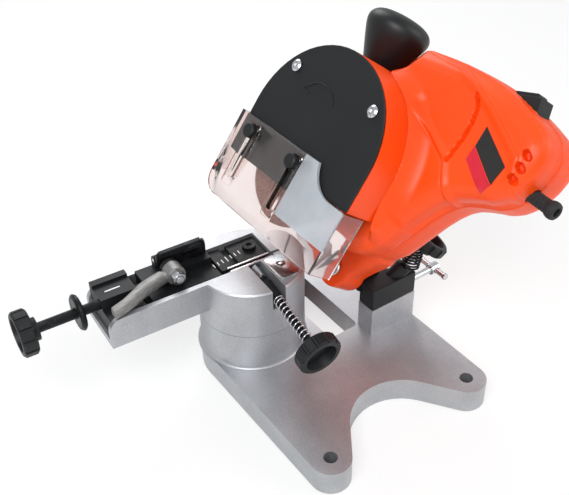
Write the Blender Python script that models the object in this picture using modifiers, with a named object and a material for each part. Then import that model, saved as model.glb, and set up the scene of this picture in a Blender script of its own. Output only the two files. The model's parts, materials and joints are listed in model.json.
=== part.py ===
"""Bench-top electric chainsaw sharpener: cast base, swivelling chain vise and a hinged grinding head.

World frame: metres, +Z up, bench top at Z = 0, origin under the middle of the whole outline.
+X runs along the chain towards the post, -Y runs to the two bolt-down ears. Sizes are drawn from the
vise's swivel axis, which stands at (-MIDDLE_X, -MIDDLE_Y).
"""

import math

import bmesh
import bpy
from mathutils import Matrix, Vector

MM = 0.001
DEG = math.pi / 180.0

# Clearances and cutter overruns
GAP = 0.3 * MM
RUN_FIT = 0.3 * MM
OVERRUN = 3.0 * MM
WELD = 0.00001

# Attitude of the three assemblies, as set in the photograph
VISE_TURN = -3.5 * DEG
HEAD_TILT = 37.3 * DEG

# Base casting
PLATE_T = 20.5 * MM
PLATE_SKIN = 5.5 * MM
PLATE_WALL = 6.0 * MM
PLATE_LEFT = -43.0 * MM
PLATE_RIGHT = 119.0 * MM
PLATE_BACK = 42.0 * MM
PLATE_CORNER_R = 12.0 * MM
EAR_R = 15.5 * MM
EAR_Y = -139.5 * MM
EAR_HOLE_R = 5.25 * MM
BAY_R = 42.0 * MM
BAY_BELOW_EARS = 7.0 * MM
RIB_T = 4.0 * MM
EDGE_R = 1.5 * MM

PEDESTAL_R = 42.0 * MM
PEDESTAL_H = 33.0 * MM
PEDESTAL_FILLET = 3.0 * MM
PEDESTAL_WALL = 8.0 * MM
PEDESTAL_CROWN = 12.0 * MM
SWIVEL_BOSS_R = 17.0 * MM

WINDOW_LEFT = 46.2 * MM
WINDOW_NEAR = -43.0 * MM
WINDOW_FAR = 34.0 * MM
WINDOW_R = 4.0 * MM

POST_W = 17.0 * MM
POST_L = 44.4 * MM
POST_H = 25.7 * MM

# Swivel bolt through the pedestal
SWIVEL_BOLT_R = 5.0 * MM
SWIVEL_HEAD_R = 9.5 * MM
SWIVEL_HEAD_H = 6.4 * MM
SWIVEL_WASHER_R = 12.0 * MM
SWIVEL_WASHER_T = 2.0 * MM
SWIVEL_POCKET_R = 13.5 * MM
SWIVEL_POCKET_H = 13.0 * MM
SWIVEL_NUT_R = 9.0 * MM
SWIVEL_NUT_H = 5.5 * MM

# Vise turret and its arm
TURRET_H = 41.3 * MM
TURRET_FLOOR = 19.0 * MM
TURRET_BEVEL = 1.0 * MM
ARM_END = -119.5 * MM
ARM_FRONT = -8.0 * MM
ARM_BACK = 37.7 * MM
ARM_WALL = 4.0 * MM
ARM_FLOOR_T = 6.0 * MM
ARM_NOSE_R = 10.0 * MM
RECESS_BACK = 30.2 * MM
RECESS_END = 19.5 * MM
CLAMP_SLOT_W = 11.4 * MM
CLAMP_SLOT_X = 1.3 * MM
CLAMP_SLOT_D = 17.0 * MM

# Chain rails and the blocks that carry them
RAIL_L = 37.0 * MM
RAIL_H = 11.0 * MM
RAIL_T = 1.9 * MM
CHAIN_SLOT = 2.6 * MM
RAIL_REAR_Y = 1.0 * MM
GUIDE_START = -22.5 * MM
GUIDE_DROP = 3.0 * MM
GUIDE_SCREW_X = 9.7 * MM
GUIDE_SCREW_Y = 18.5 * MM
GUIDE_SCREW_R = 5.5 * MM
GUIDE_SCREW_H = 2.4 * MM
GUIDE_SHANK_R = 2.5 * MM
GUIDE_SHANK_L = 9.0 * MM

# Chain clamp screw, which dips outwards
CLAMP_DIP = 11.3 * DEG
CLAMP_AXIS_DROP = 3.6 * MM
CLAMP_STUD_R = 2.9 * MM
CLAMP_STUD_START = 5.0 * MM
CLAMP_COLLAR_INSET = 20.0 * MM
CLAMP_COLLAR_L = 17.0 * MM
CLAMP_COLLAR_R = 4.4 * MM
CLAMP_TRAVEL = 5.2 * MM
CLAMP_SPRING_L = 46.0 * MM
CLAMP_SPRING_R = 4.0 * MM
CLAMP_WIRE_R = 0.6 * MM
CLAMP_TURNS = 9
STAR_KNOB_R = 17.2 * MM
STAR_KNOB_H = 15.0 * MM
STAR_KNOB_HUB_R = 8.6 * MM
STAR_KNOB_HUB_H = 4.0 * MM
STAR_KNOB_CUP_R = 11.0 * MM
STAR_KNOB_CUP_D = 7.0 * MM
STAR_FLUTES = 12
STAR_FLUTE_R = 1.6 * MM

# Chain-length adjustment along the arm
FEED_Y = 15.0 * MM
FEED_Z_DROP = 0.0 * MM
FEED_R = 3.9 * MM
FEED_KNOB_X = -164.0 * MM
LOCK_NUT_X = -131.0 * MM
LOCK_NUT_T = 4.6 * MM
LOCK_NUT_R = 14.0 * MM
END_BLOCK_X = -117.0 * MM
END_BLOCK_L = 28.0 * MM
END_BLOCK_RISE = 5.7 * MM
END_BLOCK_STEP_Y = 11.0 * MM
END_BLOCK_STEP_DROP = 3.0 * MM
FIN_T = 6.0 * MM
FIN_RISE = 8.0 * MM
CARRIAGE_X = -81.0 * MM
CARRIAGE_L = 57.0 * MM
CARRIAGE_RISE = 2.4 * MM
CHAIN_GROOVE_D = 9.0 * MM
LUG_L = 15.0 * MM
LUG_T = 4.0 * MM
LUG_RISE = 16.0 * MM

# Silver hold-down lever on the carriage
LEVER_PIVOT_X = -58.0 * MM
LEVER_PIVOT_RISE = 5.7 * MM
LEVER_HUB_R = 7.5 * MM
LEVER_T = 9.8 * MM
LEVER_Y = 7.2 * MM
LEVER_LENGTH = 56.0 * MM
LEVER_DROP = 2.4 * MM
LEVER_FOOT_R = 2.6 * MM
LEVER_CRANK = 18.0 * MM
LEVER_PIN_R = 3.0 * MM
LEVER_NUT_R = 5.6 * MM
LEVER_NUT_T = 5.0 * MM

# Chain-stop pawl, a bent plate hinged behind the lever
PAWL_X = -62.2 * MM
PAWL_PIVOT_Y = 30.0 * MM
PAWL_PIVOT_RISE = 9.0 * MM
PAWL_T = 3.0 * MM
PAWL_LENGTH = 34.0 * MM
PAWL_PIN_R = 1.6 * MM
PAWL_EYE_R = 3.4 * MM
PAWL_REACH = 7.4 * MM
PAWL_CREST = 5.0 * MM
PAWL_SLOT_W = 3.0 * MM
PAWL_EAR_T = 4.0 * MM

# Grinding wheel set, centred on the spindle
SPINDLE_A = -3.0 * MM
SPINDLE_V = 90.0 * MM
WHEEL_R = 54.0 * MM
WHEEL_T = 3.2 * MM
WHEEL_BORE_R = 11.15 * MM
SPINDLE_R = 5.0 * MM
FLANGE_R = 18.0 * MM
FLANGE_T = 3.6 * MM
SPINDLE_NUT_R = 9.0 * MM
SPINDLE_NUT_T = 6.0 * MM
SPINDLE_TAIL = 2.0 * MM
BEARING_R = 13.0 * MM
BEARING_T = 6.6 * MM

# Guard and its cover plate
GUARD_A = -7.4 * MM
GUARD_V = 108.7 * MM
GUARD_R = 66.6 * MM
GUARD_BOTTOM = 65.0 * MM
GUARD_STEP = 78.0 * MM
GUARD_RAMP = 10.0 * MM
GUARD_WALL = 3.0 * MM
GUARD_FRONT = -16.3 * MM
GUARD_BACK = 17.2 * MM
COVER_T = 2.5 * MM
COVER_EDGE = 0.8 * MM
COVER_SCREW_R = 2.5 * MM
COVER_SCREW_HEAD_R = 4.7 * MM
COVER_SCREW_HEAD_H = 2.2 * MM
COVER_SCREW_L = 9.0 * MM
COVER_SCREW_RADIUS = 57.4 * MM
COVER_SCREW_ANGLE = 40.0 * DEG
COVER_BOSS_R = 5.4 * MM
SPINDLE_WINDOW_R = 19.5 * MM

# Clear visor with two slotted rails
VISOR_T = 2.5 * MM
VISOR_GAP = 1.1 * MM
VISOR_TOP = 96.5 * MM
VISOR_BOTTOM = 29.0 * MM
VISOR_LEFT = 63.4 * MM
VISOR_RIGHT = -76.9 * MM
VISOR_SHOULDER_V = 77.3 * MM
LOBE_A = -60.0 * MM
LOBE_V = 104.5 * MM
LOBE_R = 27.3 * MM
LOBE_FROM = -95.0 * DEG
LOBE_TO = -17.0 * DEG
VISOR_CORNER_R = 14.0 * MM
VISOR_FLANGE_LEFT = 24.0 * MM
VISOR_FLANGE_RIGHT = 20.0 * MM
SLOT_LEFT_A = 40.4 * MM
SLOT_RIGHT_A = -13.2 * MM
SLOT_TOP = 91.0 * MM
SLOT_BOTTOM = 47.0 * MM
SLOT_HALF = 3.2 * MM
SLOT_RIM = 2.6 * MM
SLOT_RAISE = 1.6 * MM
VISOR_KNOB_V = 86.5 * MM
VISOR_KNOB_R = 5.9 * MM
VISOR_KNOB_H = 9.0 * MM
VISOR_STUD_R = 2.5 * MM
VISOR_STUD_L = 9.0 * MM

# Motor housing, drawn in the wheel's plane
HOUSING_FRONT = 17.5 * MM
HOUSING_SPLIT = 44.0 * MM
BLOCK_CLEARANCE = 0.6 * MM
BOSS_STEP = 1.2 * MM
HOUSING_ROUND = 15.0 * MM
HOUSING_ROUND_STEPS = 4
MOTOR_RISE = 28.2 * DEG
MOTOR_BORE_R = 21.0 * MM
STATOR_R = 20.6 * MM
STATOR_BORE_R = 12.6 * MM
STATOR_S = 70.0 * MM
STATOR_L = 46.0 * MM
ARMATURE_R = 12.0 * MM
SHAFT_R = 4.0 * MM
COMMUTATOR_R = 8.5 * MM
FAN_R = 20.0 * MM
MOTOR_BEARING_R = 10.0 * MM
GEARBOX_R = 24.5 * MM
GEARBOX_FRONT = 28.0 * MM
GEARBOX_REAR = 60.0 * MM
GEAR_R = 22.0 * MM
GEAR_TEETH = 36
PINION_TEETH = 9

# Leg and hinge
HINGE_A = -33.0 * MM
HINGE_V = 25.0 * MM
HINGE_PIN_R = 4.0 * MM
KNUCKLE_R = 12.0 * MM
KNUCKLE_L = 36.7 * MM
BOSS_R = 15.5 * MM
BOSS_L = 22.8 * MM
HINGE_END_PLAY = 0.5 * MM
PIN_HEAD_R = 7.0 * MM
PIN_HEAD_T = 2.2 * MM
SPRING_WELL_R = 10.5 * MM
SPRING_WELL_L = 12.0 * MM
HINGE_SPRING_TURNS = 4
HINGE_WIRE_R = 0.8 * MM
HINGE_SPRING_R = 8.4 * MM

# Bracket block on the post
BLOCK_H = 20.0 * MM
BLOCK_BEVEL = 1.2 * MM
BRACKET_BOLT_R = 3.0 * MM
BRACKET_BOLT_INSET = 9.0 * MM
BRACKET_BOLT_INSET_RIGHT = 21.0 * MM
BRACKET_BOLT_DEPTH = 12.0 * MM

# Depth-stop screw that leans towards +X, and the T-bar screw
STOP_LEAN = 15.0 * DEG
STOP_X = 105.8 * MM
STOP_Y = -52.0 * MM
STOP_R = 2.9 * MM
STOP_SPRING_R = 5.2 * MM
STOP_WIRE_R = 0.7 * MM
STOP_TURNS = 7
STOP_NECK = 19.0 * MM
STOP_DEPTH = 9.0 * MM
STOP_SEAT_R = 7.0 * MM
STOP_SEAT_H = 1.6 * MM
STOP_KNOB_R = 17.0 * MM
STOP_KNOB_H = 13.0 * MM
TBAR_RISE = 5.5 * MM
TBAR_R = 2.8 * MM
TBAR_OUT = 31.0 * MM
TBAR_IN = 14.0 * MM
TBAR_HEAD_R = 4.6 * MM
TBAR_HEAD_L = 8.0 * MM
TBAR_CROSS_R = 2.3 * MM
TBAR_CROSS_L = 31.0 * MM

# Handle, switch and cable gland
HANDLE_STEM_L = 16.0 * MM
HANDLE_A = 14.0 * MM
HANDLE_D = 34.0 * MM
HANDLE_OVER_GUARD = 0.7 * MM
HANDLE_NECK_R = 14.0 * MM
HANDLE_TOP_R = 30.0 * MM
HANDLE_H = 34.0 * MM
HANDLE_DOME = 6.0 * MM
SWITCH_V = 198.5 * MM
SWITCH_A = -114.0 * MM
SWITCH_L = 27.0 * MM
SWITCH_W = 17.0 * MM
SWITCH_H = 6.0 * MM
ROCKER_RISE = 3.0 * MM
ROCKER_WALL = 2.0 * MM
SWITCH_SLOPE = 16.0 * DEG
GLAND_A = -154.0 * MM
GLAND_V = 150.0 * MM
GLAND_DIP = 4.0 * DEG
GLAND_R = 5.0 * MM
GLAND_L = 21.0 * MM
GLAND_BULB_R = 6.4 * MM
GLAND_BULB_L = 8.0 * MM
GLAND_SEAT = 6.0 * MM
GLAND_BORE_R = 3.2 * MM
GLAND_DIMPLE = 3.0 * MM

# Levels that follow from the sizes above
PLATE_TOP = PLATE_T
JOINT_Z = PLATE_TOP + PEDESTAL_H
TURRET_TOP = JOINT_Z + TURRET_H
FLOOR_Z = TURRET_TOP - TURRET_FLOOR
ARM_UNDER = FLOOR_Z - ARM_FLOOR_T
WINDOW_RIGHT = PLATE_RIGHT - POST_L
POST_BACK = WINDOW_NEAR
POST_FRONT = POST_BACK - POST_W
POST_TOP = PLATE_TOP + POST_H
BLOCK_TOP = POST_TOP + BLOCK_H
EAR_LEFT_X = PLATE_LEFT + EAR_R
EAR_RIGHT_X = PLATE_RIGHT - EAR_R

# The housing stands clear of the bracket block's upper edge, and the hinge follows from its back
HOUSING_REAR = (
    WINDOW_RIGHT * math.cos(HEAD_TILT) + (TURRET_TOP - BLOCK_TOP) * math.sin(HEAD_TILT) - BLOCK_CLEARANCE
)
BOSS_D = HOUSING_REAR - BOSS_STEP - BOSS_L
KNUCKLE_D = BOSS_D + BOSS_L + HINGE_END_PLAY
HANDLE_V = GUARD_V + GUARD_R + HANDLE_OVER_GUARD
CLAMP_COLLAR_START = PEDESTAL_R - CLAMP_COLLAR_INSET

# The swivel axis to the middle of the whole outline
MIDDLE_X = 0.378 * MM
MIDDLE_Y = -55.931 * MM

ROUND = 32
SMALL_ROUND = 16


def start():
    """Empty the scene and make the two collections."""
    for obj in list(bpy.data.objects):
        bpy.data.objects.remove(obj)
    parts = bpy.data.collections.new("chainsaw_sharpener")
    tools = bpy.data.collections.new("cutters")
    bpy.context.scene.collection.children.link(parts)
    bpy.context.scene.collection.children.link(tools)
    return parts, tools


PARTS, TOOLS = start()


def material(name, colour, roughness, metallic=0.0, alpha=1.0):
    """A Principled material from an sRGB colour of three 0-255 values."""
    mat = bpy.data.materials.new(name)
    mat.use_nodes = True
    shader = mat.node_tree.nodes["Principled BSDF"]
    linear = [(c / 255.0) ** 2.2 for c in colour]
    shader.inputs["Base Color"].default_value = (*linear, 1.0)
    shader.inputs["Roughness"].default_value = roughness
    shader.inputs["Metallic"].default_value = metallic
    shader.inputs["Alpha"].default_value = alpha
    mat.diffuse_color = (*linear, alpha)
    return mat


CAST = material("cast_aluminium", (176, 178, 182), 0.5, 0.8)
STEEL = material("bright_steel", (200, 200, 204), 0.25, 1.0)
DARK_STEEL = material("blackened_steel", (36, 36, 38), 0.4, 0.7)
BLACK = material("black_plastic", (34, 36, 39), 0.5)
ORANGE = material("orange_abs", (248, 92, 40), 0.4)
CLEAR = material("clear_polycarbonate", (226, 214, 214), 0.08, 0.0, 0.4)
STONE = material("grinding_stone", (150, 106, 98), 0.9)
LEVER_METAL = material("zinc_lever", (150, 148, 152), 0.4, 0.9)
COPPER = material("winding_copper", (170, 96, 52), 0.4, 0.9)
RUBBER = material("gland_rubber", (28, 28, 30), 0.7)


def empty(name, parent=None, location=(0.0, 0.0, 0.0), rotation=(0.0, 0.0, 0.0)):
    obj = bpy.data.objects.new(name, None)
    obj.location = location
    obj.rotation_euler = rotation
    obj.parent = parent
    PARTS.objects.link(obj)
    return obj


FRAME = empty("bench_frame", location=(-MIDDLE_X, -MIDDLE_Y, 0.0))
VISE = empty("vise_swivel", FRAME, rotation=(0.0, 0.0, VISE_TURN))
HEAD_PLANE_V = Vector((math.sin(HEAD_TILT), 0.0, math.cos(HEAD_TILT)))
CHAIN_POINT = Vector((0.0, 0.0, TURRET_TOP))
HINGE = empty(
    "head_hinge",
    FRAME,
    location=CHAIN_POINT + Vector((0.0, HINGE_A, 0.0)) + HINGE_V * HEAD_PLANE_V,
    rotation=(0.0, HEAD_TILT, 0.0),
)
# Head pieces are drawn from the chain point: x away from the user, y along the wheel, z up its plane
HEAD = empty("head_plane", HINGE, location=(0.0, -HINGE_A, -HINGE_V))


def add(name, mesh, mat, parent=None, matrix=None, smooth=True):
    """One named object holding the mesh, placed in its parent's frame."""
    obj = bpy.data.objects.new(name, mesh)
    obj.parent = parent or FRAME
    obj.matrix_local = matrix if matrix is not None else Matrix.Identity(4)
    if mat is None:
        TOOLS.objects.link(obj)
        obj.hide_render = True
        obj.display_type = "WIRE"
    else:
        mesh.materials.append(mat)
        PARTS.objects.link(obj)
    if smooth:
        mesh.shade_smooth()
        mesh.set_sharp_from_angle(angle=35.0 * DEG)
    return obj


def mesh_from(name, bm):
    mesh = bpy.data.meshes.new(name)
    bmesh.ops.recalc_face_normals(bm, faces=bm.faces)
    bm.to_mesh(mesh)
    bm.free()
    return mesh


def box(name, low, high, mat, parent=None, bevel=0.0, matrix=None, pivot=(0.0, 0.0, 0.0)):
    """A block between two corners, with rounded edges where bevel is given."""
    bm = bmesh.new()
    low, high, pivot = Vector(low), Vector(high), Vector(pivot)
    place = Matrix.Translation((low + high) / 2.0 - pivot) @ Matrix.Diagonal((*(high - low), 1.0))
    bmesh.ops.create_cube(bm, size=1.0, matrix=place)
    if bevel > 0.0:
        bmesh.ops.bevel(bm, geom=bm.edges[:], offset=bevel, segments=2, profile=0.5, affect="EDGES")
    matrix = (matrix or Matrix.Identity(4)) @ Matrix.Translation(pivot)
    return add(name, mesh_from(name, bm), mat, parent, matrix, smooth=False)


def along(origin, direction):
    """A frame at origin whose z axis points along direction."""
    turn = Vector(direction).normalized().to_track_quat("Z", "Y").to_matrix().to_4x4()
    return Matrix.Translation(origin) @ turn


def rod(name, start_point, end_point, radius, mat, parent=None, steps=ROUND, end_radius=None):
    """A cylinder or cone between two points, its origin at the first."""
    start_point, end_point = Vector(start_point), Vector(end_point)
    length = (end_point - start_point).length
    bm = bmesh.new()
    bmesh.ops.create_cone(
        bm,
        cap_ends=True,
        segments=steps,
        radius1=radius,
        radius2=radius if end_radius is None else end_radius,
        depth=length,
        matrix=Matrix.Translation((0.0, 0.0, length / 2.0)),
    )
    return add(name, mesh_from(name, bm), mat, parent, along(start_point, end_point - start_point))


def turned(name, profile, mat, parent=None, origin=(0.0, 0.0, 0.0), direction=(0.0, 0.0, 1.0),
           steps=ROUND):
    """A turned piece: (radius, height) points run down the outer side, closed up a bore if there is one."""
    bm = bmesh.new()
    corners = [bm.verts.new((r, 0.0, z)) for r, z in profile]
    for first, second in zip(corners, corners[1:]):
        bm.edges.new((first, second))
    if profile[0][0] > 0.0:
        bm.edges.new((corners[-1], corners[0]))
    mesh = bpy.data.meshes.new(name)
    bm.to_mesh(mesh)
    bm.free()
    obj = add(name, mesh, mat, parent, along(origin, direction), smooth=False)
    screw = obj.modifiers.new("turn", "SCREW")
    screw.steps = steps
    screw.render_steps = steps
    screw.use_merge_vertices = True
    screw.merge_threshold = WELD
    screw.use_smooth_shade = False
    return obj


def plate(name, points, low, high, mat, parent=None, axes=None, pivot=(0.0, 0.0), bevel=0.0, steps=2):
    """A flat outline made thick: a filled 2D curve extruded, then welded into one closed mesh."""
    curve = bpy.data.curves.new(name, "CURVE")
    curve.dimensions = "2D"
    curve.fill_mode = "BOTH"
    curve.extrude = (high - low) / 2.0
    curve.resolution_u = 1
    spline = curve.splines.new("POLY")
    spline.points.add(len(points) - 1)
    for point, (x, y) in zip(spline.points, points):
        point.co = (x - pivot[0], y - pivot[1], (low + high) / 2.0, 1.0)
    spline.use_cyclic_u = True
    holder = bpy.data.objects.new(name + "_outline", curve)
    TOOLS.objects.link(holder)
    graph = bpy.context.evaluated_depsgraph_get()
    mesh = bpy.data.meshes.new_from_object(holder.evaluated_get(graph))
    bpy.data.objects.remove(holder)
    bm = bmesh.new()
    bm.from_mesh(mesh)
    bpy.data.meshes.remove(mesh)
    shift = Matrix.Translation((0.0, 0.0, (low + high) / 2.0))
    flat = all(abs(v.co.z) <= (high - low) / 2.0 + WELD for v in bm.verts)
    if flat:
        bmesh.ops.transform(bm, matrix=shift, verts=bm.verts)
    bmesh.ops.remove_doubles(bm, verts=bm.verts, dist=WELD)
    bmesh.ops.dissolve_limit(bm, angle_limit=0.1 * DEG, verts=bm.verts, edges=bm.edges)
    if bevel > 0.0:
        rim = [e for e in bm.edges if abs(e.verts[0].co.z - e.verts[1].co.z) < WELD]
        bmesh.ops.bevel(bm, geom=rim, offset=bevel, segments=steps, profile=0.5, affect="EDGES")
    matrix = (axes or Matrix.Identity(4)) @ Matrix.Translation((pivot[0], pivot[1], 0.0))
    return add(name, mesh_from(name, bm), mat, parent, matrix)


def columns(x_axis, y_axis, z_axis, origin=(0.0, 0.0, 0.0)):
    """A frame from its three axes."""
    matrix = Matrix((x_axis, y_axis, z_axis)).transposed().to_4x4()
    matrix.translation = origin
    return matrix


# Outlines of head pieces are drawn as (along the wheel, up the plane) and made thick away from the user
WHEEL_PLANE = columns((0.0, 1.0, 0.0), (0.0, 0.0, 1.0), (1.0, 0.0, 0.0))
# Side views of vise pieces are drawn as (x, z) and made thick towards the ears
SIDE_VIEW = columns((1.0, 0.0, 0.0), (0.0, 0.0, 1.0), (0.0, -1.0, 0.0))
# End views are drawn as (y, z) and made thick along x
END_VIEW = WHEEL_PLANE


def arc(centre, radius, first, last, steps=12):
    """Points on an arc, angles in radians."""
    turn = [first + (last - first) * i / steps for i in range(steps + 1)]
    return [(centre[0] + radius * math.cos(a), centre[1] + radius * math.sin(a)) for a in turn]


def rounded(low, high, radius, steps=4):
    """A rectangle with round corners."""
    (x0, y0), (x1, y1) = low, high
    quarter = math.pi / 2.0
    points = arc((x1 - radius, y1 - radius), radius, 0.0, quarter, steps)
    points += arc((x0 + radius, y1 - radius), radius, quarter, 2.0 * quarter, steps)
    points += arc((x0 + radius, y0 + radius), radius, 2.0 * quarter, 3.0 * quarter, steps)
    points += arc((x1 - radius, y0 + radius), radius, 3.0 * quarter, 4.0 * quarter, steps)
    return points


def boolean(target, tool, operation):
    modifier = target.modifiers.new(tool.name, "BOOLEAN")
    modifier.operation = operation
    modifier.solver = "EXACT"
    modifier.object = tool


def cut(target, *tools):
    for tool in tools:
        boolean(target, tool, "DIFFERENCE")


def fuse(target, *tools):
    for tool in tools:
        boolean(target, tool, "UNION")


def loft(name, rings, mat, parent=None):
    """A closed body through rings of equal point count, capped at both ends."""
    bm = bmesh.new()
    made = [[bm.verts.new(p) for p in ring] for ring in rings]
    count = len(rings[0])
    for lower, upper in zip(made, made[1:]):
        for i in range(count):
            j = (i + 1) % count
            bm.faces.new((lower[i], lower[j], upper[j], upper[i]))
    bm.faces.new(made[0])
    bm.faces.new(made[-1])
    return add(name, mesh_from(name, bm), mat, parent)


def coil(name, origin, direction, radius, wire, length, turns, mat, parent=None, per_turn=9):
    """A compression spring as one unbroken tube, with its least gap printed."""
    count = turns * per_turn
    rise = length - 2.0 * wire
    curve = bpy.data.curves.new(name, "CURVE")
    curve.dimensions = "3D"
    curve.bevel_depth = wire
    curve.bevel_resolution = 1
    curve.use_fill_caps = True
    spline = curve.splines.new("POLY")
    spline.points.add(count)
    points = []
    for i in range(count + 1):
        angle = 2.0 * math.pi * i / per_turn
        points.append(Vector((radius * math.cos(angle), radius * math.sin(angle), wire + rise * i / count)))
    for point, place in zip(spline.points, points):
        point.co = (*place, 1.0)
    gaps = [
        (points[i] - points[j]).length - 2.0 * wire
        for i in range(count + 1)
        for j in range(i + per_turn - 2, min(i + per_turn + 3, count + 1))
    ]
    print(name, "least gap", round(min(gaps) / MM, 2), "mm")
    holder = bpy.data.objects.new(name, curve)
    holder.parent = parent or FRAME
    holder.matrix_local = along(origin, direction)
    curve.materials.append(mat)
    PARTS.objects.link(holder)
    return holder


def star_knob(name, origin, direction, radius, height, mat, parent, bore, hollow_out=True):
    """A fluted knob: hub towards the screw, a hollow in its outer face."""
    hub = STAR_KNOB_HUB_H
    share = radius / STAR_KNOB_R
    cup_r = STAR_KNOB_CUP_R * share
    cup_d = STAR_KNOB_CUP_D * share
    hub_r = STAR_KNOB_HUB_R * share
    bevel = EDGE_R
    profile = [(0.0, height - cup_d), (cup_r, height - cup_d), (cup_r + bevel, height)]
    profile += [(radius - bevel, height), (radius, height - bevel)]
    profile += [(radius, hub + bevel), (radius - bevel, hub), (hub_r, hub), (hub_r, 0.0), (0.0, 0.0)]
    knob = turned(name, profile, mat, parent, origin, direction, steps=STAR_FLUTES * 3)
    frame = along(origin, direction)
    for i in range(STAR_FLUTES):
        angle = 2.0 * math.pi * (i + 0.5) / STAR_FLUTES
        foot = frame @ Vector((radius * math.cos(angle), radius * math.sin(angle), hub - OVERRUN))
        tip = frame @ Vector((radius * math.cos(angle), radius * math.sin(angle), height + OVERRUN))
        cut(knob, rod(f"{name}_flute_{i}", foot, tip, STAR_FLUTE_R * share, None, parent, steps=6))
    if bore > 0.0:
        inner = frame @ Vector((0.0, 0.0, -OVERRUN))
        outer = frame @ Vector((0.0, 0.0, hub + 4.0 * GAP))
        cut(knob, rod(f"{name}_bore", inner, outer, bore, None, parent, steps=SMALL_ROUND))
    return knob


def base_outline():
    """Plan of the casting: pedestal at the left rear, two ears in front with a round bay between them."""
    half = math.pi / 2.0
    middle = (EAR_LEFT_X + EAR_RIGHT_X) / 2.0
    bay = (middle, EAR_Y - BAY_BELOW_EARS)
    spread = math.hypot(EAR_RIGHT_X - bay[0], EAR_Y - bay[1])
    slope = math.atan2(EAR_Y - bay[1], EAR_RIGHT_X - bay[0]) + math.acos((BAY_R + EAR_R) / spread)
    points = arc((PLATE_LEFT + PEDESTAL_R, 0.0), PEDESTAL_R, 2.0 * half, half, 12)
    corner = (PLATE_RIGHT - PLATE_CORNER_R, PLATE_BACK - PLATE_CORNER_R)
    points += arc(corner, PLATE_CORNER_R, half, 0.0, 5)
    points += arc((EAR_RIGHT_X, EAR_Y), EAR_R, 0.0, slope - 2.0 * half, 12)
    points += arc(bay, BAY_R, slope, 2.0 * half - slope, 12)
    points += arc((EAR_LEFT_X, EAR_Y), EAR_R, -slope, -2.0 * half, 12)
    return points


def make_base():
    base = plate("base_casting", base_outline(), 0.0, PLATE_TOP, CAST, bevel=0.0)
    pedestal = turned(
        "pedestal",
        [
            (0.0, JOINT_Z),
            (PEDESTAL_R, JOINT_Z),
            (PEDESTAL_R, PLATE_TOP + PEDESTAL_FILLET),
            (PEDESTAL_R + PEDESTAL_FILLET * 0.3, PLATE_TOP + PEDESTAL_FILLET * 0.3),
            (PEDESTAL_R + PEDESTAL_FILLET, PLATE_TOP - EDGE_R / 3.0),
            (PEDESTAL_R - EDGE_R, PLATE_TOP / 2.0),
            (0.0, PLATE_TOP / 2.0),
        ],
        None,
        steps=64,
    )
    post = box("post", (WINDOW_RIGHT, POST_FRONT, PLATE_SKIN + PLATE_TOP / 2.0),
               (PLATE_RIGHT, POST_BACK, POST_TOP), None)
    window = plate(
        "window",
        rounded((WINDOW_LEFT, WINDOW_NEAR), (WINDOW_RIGHT, WINDOW_FAR), WINDOW_R),
        -OVERRUN,
        PLATE_TOP + OVERRUN,
        None,
    )
    fuse(base, pedestal, post)
    cut(base, window)
    for side, x in (("left", EAR_LEFT_X), ("right", EAR_RIGHT_X)):
        hole = rod(f"ear_hole_{side}", (x, EAR_Y, -OVERRUN), (x, EAR_Y, PLATE_TOP + OVERRUN),
                   EAR_HOLE_R, None)
        cut(base, hole)
    roof = PLATE_TOP - PLATE_SKIN
    near = EAR_Y + BAY_R - BAY_BELOW_EARS + PLATE_WALL
    far = WINDOW_NEAR - PLATE_WALL
    left = PLATE_LEFT + PLATE_WALL
    right = PLATE_RIGHT - PLATE_WALL
    bays = 3
    pitch = (right - left + RIB_T) / bays
    for i in range(bays):
        x0 = left + pitch * i
        outline = rounded((x0, near), (x0 + pitch - RIB_T, far), WINDOW_R, 2)
        cut(base, plate(f"front_pocket_{i}", outline, -OVERRUN, roof, None))
    outline = rounded((WINDOW_RIGHT + PLATE_WALL, WINDOW_NEAR + PLATE_WALL),
                      (right, PLATE_BACK - PLATE_WALL), WINDOW_R, 2)
    cut(base, plate("side_pocket", outline, -OVERRUN, roof, None))
    crown = JOINT_Z - PEDESTAL_CROWN
    wall_r = PEDESTAL_R - PEDESTAL_WALL
    ring = [(wall_r, crown), (wall_r, -OVERRUN), (SWIVEL_BOSS_R, -OVERRUN), (SWIVEL_BOSS_R, crown)]
    cut(base, turned("pedestal_hollow", ring, None))
    cut(base, rod("swivel_pocket", (0.0, 0.0, -OVERRUN), (0.0, 0.0, SWIVEL_POCKET_H), SWIVEL_POCKET_R, None))
    bore = SWIVEL_BOLT_R + RUN_FIT
    cut(base, rod("swivel_bore", (0.0, 0.0, 0.0), (0.0, 0.0, JOINT_Z + OVERRUN), bore, None,
                  steps=SMALL_ROUND))
    for side, x in (("left", WINDOW_RIGHT + BRACKET_BOLT_INSET),
                    ("right", PLATE_RIGHT - BRACKET_BOLT_INSET_RIGHT)):
        y = (POST_FRONT + POST_BACK) / 2.0
        hole = rod(
            f"post_hole_{side}",
            (x, y, POST_TOP - BRACKET_BOLT_DEPTH - GAP),
            (x, y, POST_TOP + OVERRUN),
            BRACKET_BOLT_R + GAP,
            None,
            steps=SMALL_ROUND,
        )
        cut(base, hole)


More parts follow.
